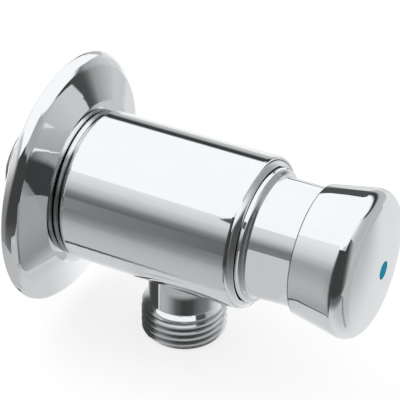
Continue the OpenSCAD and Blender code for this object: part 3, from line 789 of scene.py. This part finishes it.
class TAP_OT_spring(bpy.types.Operator):
    """Wind the return spring at the imported spring's length."""

    bl_idname = "tap.spring"
    bl_label = "Return spring"

    def execute(self, context):
        sizes = context.scene.tap_sizes
        low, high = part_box("return_spring")
        wire = sizes.spring_wire / 2
        spring = piece_from_tree("return_spring_wound", spring_tree(), {
            "Radius": 8 * MM, "Wire radius": wire, "Start": -high.y + wire, "End": -low.y - wire,
            "End pitch": 2 * MM, "Coils": sizes.spring_coils, "Points": 48 * sizes.spring_coils + 1,
            "Material": FINISHES["steel"],
        })
        spring.data.transform(ALONG_TAP)
        tidy_mesh(spring.data)
        finish_piece(spring, "valve", "steel", FINISHES["steel"], "return_spring")
        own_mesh(spring)
        return {"FINISHED"}


class TAP_OT_cartridge(bpy.types.Operator):
    """Give the cartridge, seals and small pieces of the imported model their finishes."""

    bl_idname = "tap.cartridge"
    bl_label = "Cartridge and seals"

    def execute(self, context):
        slots = {
            "rubber": ("flange_oring", "outlet_oring", "bonnet_oring", "stem_oring", "seat_oring",
                       "piston_seal", "seat_washer"),
            "white_plastic": ("cap_guide_ring", "stem_bush", "dashpot_sleeve", "piston"),
            "brass": ("gland_nut", "valve_seat", "washer_cup", "push_stem"),
            "steel": ("inlet_strainer", "seal_retainer", "stem_clip", "washer_screw", "cap_screw"),
            "fibre": ("inlet_seal",),
        }
        for slot, nodes in slots.items():
            for name in nodes:
                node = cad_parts[name]
                node.data.materials.clear()
                node.data.materials.append(FINISHES[slot])
        return {"FINISHED"}


# Studio

# Floor, in millimetres: its distance under the tap and how far it reaches
FLOOR_GAP = 0.05
FLOOR_REACH = 2500.0
# Places along the tap's axis, in millimetres, of the upright studio cards
BLIND_AT = -20.6
FLAG_AT = -30.0
NECK_CARD_AT = -54.0
COLLAR_CARD_AT = -56.0
BUTTON_CARD_AT = -66.2
SCREEN_AT = -68.0
# Places to the side of the cards that stand along the axis
LEFT_WALL_AT = -200
CAMERA_SIDE_AT = -75
# Height of level cards over the floor, and the distance that keeps overlapping cards apart
CARD_LIFT = 0.3
CARD_GAP = 0.1
# Camera fitted to the photograph: angles in degrees, lengths in millimetres, focal length in picture widths
CAMERA_ANGLES = (-63.09, 33.12, 1.17)
CAMERA_AIM = (0, -45, 0)
CAMERA_BACK, CAMERA_RIGHT, CAMERA_UP = 444.9, -7.84, 5.66
CAMERA_FOCAL = 1899.7 / 400


def sheet_object(name, corners, faces, material):
    """Flat studio sheet from points in millimetres."""
    mesh = bpy.data.meshes.new(name)
    mesh.from_pydata([tuple(c * MM for c in p) for p in corners], [], faces)
    mesh.materials.append(material)
    sheet = show(name, mesh)
    return sheet


def glow_material(name, level):
    """Material that shows mirrored rays a level of grey, from a function of its place in millimetres."""
    material = bpy.data.materials.new(name)
    material.use_nodes = True
    material.node_tree.nodes.clear()
    w = Wiring(material.node_tree)
    place = w.vector("DIVIDE", w.add("ShaderNodeTexCoord").outputs["Object"], (MM, MM, MM))
    glow = w.fed("ShaderNodeEmission", {"Color": w.grey(level(w, *w.split(place)))})
    return material, w, glow.outputs[0]


def card(name, corners, level, faces=None):
    """Studio card for reflections alone, out of the picture. Its rear lets rays through."""
    material, w, glow = glow_material(name, level)
    rear = w.add("ShaderNodeNewGeometry").outputs["Backfacing"]
    w.end("ShaderNodeOutputMaterial", rear, glow, w.add("ShaderNodeBsdfTransparent").outputs[0])
    sheet = sheet_object(name, corners, faces or [tuple(range(len(corners)))], material)
    sheet.visible_camera = False
    sheet.visible_diffuse = False
    sheet.visible_shadow = False
    sheet.visible_transmission = False


def opposite_level(w, x, y, z):
    """Floor opposite the flange, by distance to the side."""
    return w.ramp(x, [
        (-100, 0.45), (-75, 0.42), (-60, 0.25), (-48, 0.16), (-42, 0.30), (-37, 0.60), (-33, 0.45),
        (-25, 0.38), (0, 0.40), (40, 0.52), (80, 0.60), (150, 0.60), (300, 0.70), (600, 0.80)])


def outlet_blind_level(w, x, y, z):
    """Blind behind the outlet: paler low down on the outlet's side, dark along its free edge."""
    aslant = w.minus(z, w.times(w.plus(x, 14.5), 1.15))
    middle = w.ramp(aslant, [
        (-36, 0.50), (-32, 0.43), (-28, 0.37), (-24, 0.31), (-20, 0.30), (-14, 0.32), (-8, 0.35),
        (-2, 0.37)])
    edge = w.ramp(z, [(-32, 0.48), (-29, 0.20), (-24, 0.16), (-16, 0.20), (-6, 0.27), (2, 0.28)])
    return w.mix(w.smooth(x, -22.5, -24.5), middle, edge)


def collar_level(w, x, y, z):
    """Ring before the body's front edge: dark on the left, pale above, below and on the right."""
    left = w.ramp(z, [(-26, 0.75), (-14, 0.66), (-9, 0.47), (-4, 0.27), (0, 0.15), (4, 0.08), (13, 0.08)])
    above = w.ramp(x, [(-13, 1.0), (-10, 0.85), (-7, 0.55), (-3, 0.36), (5, 0.36), (10, 0.55)])
    return w.mix(w.smooth(x, 7, 13), w.mix(w.smooth(z, 12.0, 15.0), left, above), 0.78)


def floor_level(w, x, y, z):
    """Floor as the chrome mirrors it: grey on the left, white on the right, softer before the button."""
    beside = w.ramp(x, [
        (-60, 0.59), (-22, 0.64), (-8, 0.66), (-2, 0.76), (5, 0.93), (12, 1.0), (150, 1.0), (600, 0.85)])
    aslant = w.plus(y, w.times(x, 0.6))
    before = w.ramp(aslant, [
        (-160, 0.49), (-130, 0.51), (-112, 0.56), (-100, 0.66), (-92, 0.73), (-84, 0.78), (100, 0.80)])
    far = w.times(w.smooth(x, 60, 90), w.smooth(y, 8, 2))
    beside = w.mix(far, beside, 0.74)
    opposite = w.times(w.smooth(y, -12, -28), w.math("GREATER_THAN", y, NECK_CARD_AT))
    shielded = w.times(w.smooth(x, -30, -27), w.smooth(x, 12, 9))
    shielded = w.times(shielded, w.smooth(y, -16, -21))
    opposite = w.times(opposite, w.minus(1.0, shielded))
    beside = w.mix(opposite, beside, opposite_level(w, x, y, z))
    return w.mix(w.smooth(y, -66, -80), beside, before)


def floor_material():
    """Pale floor that keeps a soft shadow, with the level that the chrome mirrors."""
    material, w, glow = glow_material("studio_floor", floor_level)
    matte = w.fed("ShaderNodeBsdfDiffuse", {"Color": (0.30, 0.30, 0.30, 1.0)})
    white = w.fed("ShaderNodeEmission", {"Strength": 0.72})
    lit = w.fed("ShaderNodeAddShader", {0: matte.outputs[0], 1: white.outputs[0]})
    glossy = w.add("ShaderNodeLightPath").outputs["Is Glossy Ray"]
    w.end("ShaderNodeOutputMaterial", glossy, lit.outputs[0], glow)
    return material


def studio_level(w, heading, studio):
    """Studio that the chrome mirrors, by heading: walls, an overhead softbox and its dark frame."""
    x, y, z = w.split(heading)
    bearing = w.math("DEGREES", w.math("ARCTAN2", y, x))
    height = w.math("DEGREES", w.math("ARCSINE", z))
    beside = w.ramp(z, [
        (0.0, 0.14), (0.12, 0.15), (0.21, 0.23), (0.31, 0.47), (0.39, 0.58), (0.47, 0.70), (0.63, 0.81)])
    behind = w.ramp(z, [
        (0.0, 0.34), (0.14, 0.36), (0.21, 0.46), (0.31, 0.62), (0.39, 0.74), (0.47, 0.82), (0.63, 0.84)])
    left = w.mix(w.smooth(bearing, 154, 138), beside, behind)
    left = w.mix(w.smooth(z, 0.056, 0.048), left, studio.walls)
    front = w.ramp(z, [
        (0.0, studio.walls), (0.2, 0.50), (0.45, 0.49), (0.7, 0.54), (0.85, 0.70), (0.95, 0.92)])
    at_left = w.times(w.smooth(y, -0.05, 0.1), w.smooth(x, 0.2, -0.1))
    level = w.mix(at_left, front, left)
    frame_height = w.ramp(bearing, [
        (-62, 0.60), (-40, 0.41), (0, 0.26), (24, 0.19), (33, 0.175), (42, 0.16)])
    above = w.minus(height, w.times(frame_height, 90))
    framed = w.times(w.smooth(above, -12, -3), w.smooth(above, 5, 4))
    framed = w.times(framed, w.times(w.smooth(bearing, -66, -52), w.smooth(bearing, 46, 38)))
    level = w.mix(framed, level, studio.dark)
    edge = w.ramp(bearing, [
        (-180, 0.80), (-150, 0.82), (-135, 0.90), (-90, 0.91), (-60, 0.88), (-40, 0.70), (0, 0.54),
        (24, 0.40), (33, 0.38), (60, 0.45), (110, 0.629), (165, 0.629), (175, 0.79), (180, 0.80)])
    blur = w.smooth(y, 0.0, -0.3, 0.005, 0.08)
    softbox = w.smooth(z, w.minus(edge, blur), w.plus(edge, blur))
    return w.mix(softbox, level, studio.softbox)


def studio_world(studio):
    """White room for the eye and for matte surfaces, and the studio for the chrome."""
    world = bpy.data.worlds.new("studio")
    bpy.context.scene.world = world
    world.use_nodes = True
    tree = world.node_tree
    tree.nodes.clear()
    w = Wiring(tree)
    heading = w.vector("NORMALIZE", w.add("ShaderNodeTexCoord").outputs["Generated"])
    mirrored = w.fed("ShaderNodeBackground", {"Color": w.grey(studio_level(w, heading, studio))})
    plain = w.fed("ShaderNodeBackground", {"Color": (1.0, 1.0, 1.0, 1.0)})
    glossy = w.add("ShaderNodeLightPath").outputs["Is Glossy Ray"]
    w.end("ShaderNodeOutputWorld", glossy, plain.outputs[0], mirrored.outputs[0])


def left_sweep_level(w, x, y, z):
    """Left sweep: darker away from the tap."""
    sweep = w.ramp(x, [
        (-200, 0.20), (-150, 0.21), (-110, 0.25), (-85, 0.31), (-66, 0.43), (-47, 0.50), (-27, 0.53)])
    after = w.smooth(x, -26, -23)
    return w.mix(after, sweep, 0.63)


def left_seam_level(w, x, y, z):
    """Dark seam of the left sweep, which fades to the front."""
    return w.smooth(y, -38, -2, 0.55, 0.08)


def left_wall_level(w, x, y, z):
    """Left wall: dark opposite the body's front, lighter to the rear."""
    return w.ramp(y, [(18, 0.14), (40, 0.18), (66, 0.21), (88, 0.25), (96, 0.36), (130, 0.40)])


def camera_side_level(w, x, y, z):
    """Unlit side behind the camera, lighter towards the floor."""
    along = w.ramp(y, [
        (-340, 0.46), (-270, 0.42), (-220, 0.32), (-186, 0.20), (-160, 0.12), (-140, 0.055), (-50, 0.045),
        (-40, 0.07), (-18, 0.10)])
    return w.plus(along, w.ramp(z, [(-34, 0.10), (-22, 0.0)]))


def front_dark_level(w, x, y, z):
    """Dark floor before the unlit side."""
    return w.ramp(x, [(-76, 0.10), (-60, 0.22), (-47, 0.52)])


def mirror_height(w, x, z, radius):
    """Height in degrees at which a round piece of this radius mirrors a place beside it."""
    focus = Vector((-0.807, 0.59)) * radius / 2
    return w.math("DEGREES", w.math("ARCTAN2", w.minus(z, focus.y), w.minus(focus.x, x)))


def button_card_level(w, x, y, z):
    """Card beside the neck that the button's flare mirrors."""
    level = w.ramp(mirror_height(w, x, z, 16.0), [
        (-46, 0.38), (-40, 0.42), (-33, 0.46), (-19, 0.47), (-4.5, 0.40), (4, 0.37), (11, 0.37),
        (16, 0.46), (27, 0.66), (35, 0.74), (44, 0.82), (52, 0.86), (53, 1.03)])
    return w.mix(w.smooth(x, -27, -42), level, 0.06)


def front_streak_level(w, x, y, z):
    """Narrow dark streak on the floor before the button."""
    return w.ramp(x, [(-50, 0.16), (-30, 0.25), (-18, 0.33), (-5, 0.46)])


def button_strip_level(w, x, y, z):
    """Dark strip over the button's right, pale below it."""
    off = w.minus(x, 2.0)
    curve = w.plus(w.times(off, 0.09), w.times(w.times(off, off), 0.0023))
    above = w.minus(w.minus(z, 15.6), curve)
    return w.mix(w.smooth(above, -1.2, 0.2), 0.76, 0.08)


def neck_card_level(w, x, y, z):
    """Card beside the neck: even below, a dark band that fades upwards, white above and below the neck."""
    level = w.ramp(mirror_height(w, x, z, 14.55), [
        (3.3, 0.60), (3.5, 0.22), (9, 0.20), (15, 0.19), (19, 0.29), (23, 0.42), (27, 0.56), (32, 0.67),
        (40, 0.73), (45.5, 0.75), (46, 1.03)])
    under = w.ramp(x, [(-9, 0.60), (-5, 0.65), (-1, 0.76), (3, 0.92), (7, 1.02)])
    return w.mix(w.smooth(z, 0, -1), level, under)


def neck_side_level(w, x, y, z):
    """White card on the neck's right, with a thin dark lower edge."""
    above = w.minus(z, w.smooth(x, 5, 60, 13.7, 9.1))
    return w.mix(w.smooth(above, -0.2, 0.2), 0.2, 1.03)


def screen_level(w, x, y, z):
    """Screen that the flange faces: white above, light below it, and a dark bar on the right that fades."""
    light = w.ramp(x, [
        (-42, 0.06), (-38, 0.20), (-25, 0.38), (-10, 0.45), (15, 0.51), (45, 0.62), (80, 0.64)])
    right_from = w.times(w.ramp(z, [(10, 0.70), (16, 0.68), (26, 0.54), (36, 0.38), (50, 0.23)]), 100)
    bar = w.ramp(x, [
        (40, 0.05), (80, 0.075), (90, 0.14), (105, 0.33), (133, 0.44), (160, 0.51), (205, 0.59),
        (280, 0.63), (450, 0.71)])
    level = w.mix(w.smooth(w.minus(x, right_from), -1, 1), light, bar)
    edge = w.times(w.ramp(x, [
        (-60, 0.60), (0, 0.50), (23, 0.50), (47, 0.53), (80, 0.53), (120, 0.50)]), 100)
    return w.mix(w.smooth(w.minus(z, edge), -1, 1), level, 1.04)


def flag_level(w, x, y, z):
    """Flag beside the body: white above, dark below it with a light stripe, and lighter to the far left."""
    core = w.ramp(z, [(-34, 0.20), (-20, 0.12), (-10, 0.06), (0, 0.05)])
    far = w.ramp(z, [(-34, 0.28), (0, 0.24), (10, 0.28), (20, 0.44), (27, 0.65), (40, 0.85), (50, 1.04)])
    middle = w.times(w.ramp(z, [
        (-34, 0.54), (-20, 0.53), (-10, 0.54), (0, 0.58), (10, 0.64), (20, 0.70), (25, 0.72)]), 100)
    beside = w.minus(w.plus(x, 100), middle)
    level = w.mix(w.smooth(beside, -4, -17), core, far)
    stripe = w.times(w.smooth(x, -24, -22.5), w.smooth(z, w.smooth(x, -19, -13, 15, 11), 19))
    level = w.mix(stripe, level, 0.40)
    white = w.times(w.smooth(w.minus(z, w.smooth(x, -22, -8, 26, 33)), 0, 2), w.smooth(x, -40, -31))
    return w.mix(white, level, 1.04)


def outlet_bearing(w, x, y):
    """Bearing round the outlet's axis in degrees, from 0 on the left to 90 at the rear."""
    return w.math("DEGREES", w.math("ARCTAN2", w.plus(y, OUTLET_AT / MM), w.times(x, -1)))


def outlet_ring_level(w, x, y, z):
    """Ring round the outlet: dark to the rear and opposite the camera, light on the left and the right."""
    bearing = outlet_bearing(w, x, y)
    level = w.ramp(bearing, [
        (-130, 0.82), (-112, 0.62), (-98, 0.40), (-88, 0.22), (-60, 0.13), (-45, 0.06), (-25, 0.05),
        (-8, 0.11), (2, 0.24), (14, 0.40), (32, 0.48), (34, 0.06), (62, 0.06), (74, 0.14), (84, 0.50),
        (100, 0.80)])
    above = w.times(w.smooth(z, -26.2, -24.2), w.smooth(bearing, 32, 26))
    return w.mix(above, level, 0.42)


def outlet_hood_level(w, x, y, z):
    """Hood over the outlet: grey over the thread's flanks, white over its shoulder, dark at the rear."""
    bearing = outlet_bearing(w, x, y)
    flanks = w.ramp(bearing, [
        (-150, 0.85), (-110, 0.78), (-80, 0.50), (-55, 0.40), (30, 0.42), (38, 0.12), (60, 0.06)])
    shoulder = w.ramp(bearing, [
        (-150, 0.80), (-95, 0.60), (-72, 0.40), (-66, 0.08), (-50, 0.08), (-47, 1.0), (30, 1.0),
        (34, 0.10), (70, 0.06)])
    across = w.plus(y, OUTLET_AT / MM)
    reach = w.math("SQRT", w.plus(w.times(x, x), w.times(across, across)))
    return w.mix(w.smooth(reach, 12.5, 12.2), flanks, shoulder)


def ring_points(radius, height, turns):
    """Points on an arc round the outlet's axis, in millimetres, by bearing in degrees."""
    angles = [math.radians(a) for a in turns]
    return [(-radius * math.cos(a), radius * math.sin(a) - OUTLET_AT / MM, height) for a in angles]


def even(level):
    """Card of one level."""
    return lambda w, x, y, z: level


def standing(at, places):
    """Corners of a card that stands across the tap's axis, from (x, z) places in millimetres."""
    return [(x, at, z) for x, z in places]


def sideways(at, places):
    """Corners of a card that stands along the tap's axis, from (y, z) places in millimetres."""
    return [(at, y, z) for y, z in places]


def lying(height, places):
    """Corners of a level card, from (x, y) places in millimetres."""
    return [(x, y, height) for x, y in places]


def band(count):
    """Faces between two rows of that many points."""
    return [(k, k + 1, count + k + 1, count + k) for k in range(count - 1)]


def quads(count, first=0):
    """That many faces of four points each."""
    return [tuple(range(first + 4 * k, first + 4 * k + 4)) for k in range(count)]


def place_cards(lift):
    """Cards of the studio. The lowest ones start at the height lift."""
    card("left_sweep", lying(lift, (
        (-22, -44), (-22, 12), (-47, 24), (-85, 38), (-173, 74), (-200, 90), (-200, 2), (-180, -5),
        (-90, -33), (-45, -41), (-33, -43))), left_sweep_level)
    # The seam is a row of narrow slats that lean towards the tap and the wall
    slats = [3.2 * k - 38.0 for k in range(16)]
    strip = ((-26.4, 0), (-23.6, 0), (-23.6, 4), (-26.4, 4))
    lean = (0.34, 0.33)
    card("left_seam", [(x + lean[0] * up, at + lean[1] * up, lift + CARD_GAP + up)
                       for at in slats for x, up in strip], left_seam_level, quads(len(slats)))
    card("left_wall", sideways(LEFT_WALL_AT, ((-30, lift), (130, lift), (130, 20), (-30, 20))),
         left_wall_level)
    card("camera_side", sideways(CAMERA_SIDE_AT, (
        (-340, lift), (-31, lift), (-31, 48), (-18, 60), (-18, 78), (-105, 78), (-115, 100), (-150, 170),
        (-340, 170))), camera_side_level)
    card("front_dark", lying(lift, (
        (-47, -53), (-75, -42), (-75, -150), (-47, -150))), front_dark_level)
    card("button_card", standing(BUTTON_CARD_AT, (
        (-10.2, 12.2), (-20, 30), (-60, 30), (-60, -33), (-29, -33), (-17.3, -7.6), (-15, -5.5),
        (-15.9, 0), (-15, 5.4), (-12.2, 10.2))), button_card_level)
    card("button_seam", standing(BUTTON_CARD_AT - CARD_GAP, (
        (-15.0, -4.3), (-15.5, -4.3), (-18.1, -7.6), (-30.0, -33), (-29.0, -33), (-17.3, -7.6))),
        even(0.10))
    card("front_streak", lying(lift + CARD_GAP, (
        (-45, -147), (-27, -121), (-5, -97), (-9, -93), (-33, -117), (-51, -143))), front_streak_level)
    card("neck_card", standing(NECK_CARD_AT, (
        (25, lift), (25, 3), (-14, 3), (-14, 45), (-48, 45), (-48, 3), (-150, 3), (-150, lift))),
         neck_card_level)
    card("neck_side", standing(NECK_CARD_AT, ((60, 4.8), (60, 40), (26, 42), (3, 17.5), (3, 13.6))),
         neck_side_level)
    card("flange_foot", standing(NECK_CARD_AT + 2 * CARD_GAP, (
        (-150, lift), (-150, -20), (300, -20), (300, lift))), opposite_level)
    card("outlet_blind", standing(BLIND_AT, ((-28, lift), (-28, 2), (11, 2), (11, lift))),
         outlet_blind_level)
    turns = [math.radians(a) for a in range(0, 361, 10)]
    collar = [(r * math.cos(a), r * math.sin(a)) for r in (14.7, 22.0) for a in turns]
    shoulder = ((-26, 14), (-26, 34), (-12, 34), (-12, 14))
    card("collar_card", standing(COLLAR_CARD_AT, (*collar, *shoulder)), collar_level,
         band(len(turns)) + quads(1, len(collar)))
    card("button_strip", standing(BUTTON_CARD_AT, (
        (-0.6, 15.9), (4.5, 15.1), (13.1, 12), (25.5, 8), (33, 8), (33, 34), (28, 34), (22, 29.5),
        (11.8, 22.3), (5, 18.5))), button_strip_level)
    card("flange_flag", standing(FLAG_AT, (
        (-200, lift), (-200, 160), (10, 160), (10, 38.7), (0, 36), (-6.7, 34), (-12, 28), (-12, 16),
        (-14, 11), (-16.5, 8), (-17.5, 6), (-19.5, 4), (-20.5, 2), (-21.7, -1), (-22.7, -4), (-36, -20),
        (-36.7, -27), (-36.7, lift))), flag_level)
    card("flange_screen", standing(SCREEN_AT, ((-46, lift), (-46, 160), (500, 160), (500, lift))),
         screen_level)
    for name, radius, top, turns in (("outlet_ring", 17.0, -22.0, range(-136, 35, 10)),
                                     ("outlet_rear", 13.0, -20.5, range(34, 105, 10))):
        card(name, ring_points(radius, lift, turns) + ring_points(radius, top, turns),
             outlet_ring_level, band(len(turns)))
    turns = range(-150, 101, 10)
    hood = -22.5
    card("outlet_hood", ring_points(17.2, hood, turns) + ring_points(10.6, hood, turns),
         outlet_hood_level, band(len(turns)))


def place_lamp(context):
    """Soft key lamp over the tap's rear."""
    key = bpy.data.lights.new("softbox_key", "AREA")
    key.shape = "DISK"
    key.size = 1.2
    key.energy = 3.0
    lamp = bpy.data.objects.new("softbox_key", key)
    lamp.location = (0.12, 0.65, 0.80)
    lamp.rotation_euler = (Vector((0, -0.045, 0)) - lamp.location).to_track_quat("-Z", "Y").to_euler()
    lamp.visible_glossy = False
    context.scene.collection.objects.link(lamp)


class TAP_OT_studio(bpy.types.Operator):
    """Set up the floor, the studio cards, the light and the camera."""

    bl_idname = "tap.studio"
    bl_label = "Studio"

    def execute(self, context):
        studio = context.scene.tap_studio
        context.scene.view_settings.view_transform = "Standard"
        studio_world(studio)
        ground = CAD_BOX[0].z / MM - FLOOR_GAP
        reach = FLOOR_REACH
        corners = lying(ground, ((-reach, -reach), (reach, -reach), (reach, reach), (-reach, reach)))
        sheet_object("floor", corners, quads(1), floor_material())
        place_cards(ground + CARD_LIFT)
        place_lamp(context)
        set_camera(context)
        return {"FINISHED"}


def set_camera(context):
    """Camera at the photograph's place, for a square picture."""
    azimuth, elevation, roll = (math.radians(a) for a in CAMERA_ANGLES)
    back = Vector((math.sin(azimuth) * math.cos(elevation), -math.cos(azimuth) * math.cos(elevation),
                   math.sin(elevation)))
    right = Vector((math.cos(azimuth), math.sin(azimuth), 0.0))
    up = back.cross(right)
    across = math.cos(roll) * right + math.sin(roll) * up
    upright = -math.sin(roll) * right + math.cos(roll) * up
    place = Vector(CAMERA_AIM) + back * CAMERA_BACK + right * CAMERA_RIGHT + up * CAMERA_UP
    data = bpy.data.cameras.new("camera")
    data.sensor_width = 36.0
    data.lens = CAMERA_FOCAL * data.sensor_width
    data.clip_start, data.clip_end = 0.01, 20.0
    camera = bpy.data.objects.new("camera", data)
    turn = Matrix((across, upright, back)).transposed().to_4x4()
    camera.matrix_world = Matrix.Translation(place * MM) @ turn
    context.scene.collection.objects.link(camera)
    context.scene.camera = camera


# Add-on

class TAP_PT_panel(bpy.types.Panel):
    """Sidebar panel of the tap."""

    bl_idname = "TAP_PT_panel"
    bl_label = "Push Timed Tap"
    bl_space_type = "VIEW_3D"
    bl_region_type = "UI"
    bl_category = "Tap"

    def draw(self, context):
        for group in (context.scene.tap_sizes, context.scene.tap_finishes, context.scene.tap_studio):
            box = self.layout.box()
            for name in group.__annotations__:
                box.prop(group, name)
        for operator in OPERATORS:
            self.layout.operator(operator.bl_idname)


OPERATORS = (TAP_OT_body, TAP_OT_flange, TAP_OT_nipples, TAP_OT_bonnet, TAP_OT_button, TAP_OT_spring,
             TAP_OT_cartridge, TAP_OT_studio)
CLASSES = (TapSizes, TapFinishes, TapStudio) + OPERATORS + (TAP_PT_panel,)


def register():
    for item in CLASSES:
        bpy.utils.register_class(item)
    bpy.types.Scene.tap_sizes = PointerProperty(type=TapSizes)
    bpy.types.Scene.tap_finishes = PointerProperty(type=TapFinishes)
    bpy.types.Scene.tap_studio = PointerProperty(type=TapStudio)


def unregister():
    del bpy.types.Scene.tap_studio
    del bpy.types.Scene.tap_finishes
    del bpy.types.Scene.tap_sizes
    for item in reversed(CLASSES):
        bpy.utils.unregister_class(item)


def main():
    register()
    FINISHES.update(make_finishes())
    bpy.ops.tap.body()
    bpy.ops.tap.flange()
    bpy.ops.tap.nipples()
    bpy.ops.tap.bonnet()
    bpy.ops.tap.button()
    bpy.ops.tap.spring()
    bpy.ops.tap.cartridge()
    bpy.ops.tap.studio()


if __name__ == "__main__":
    main()
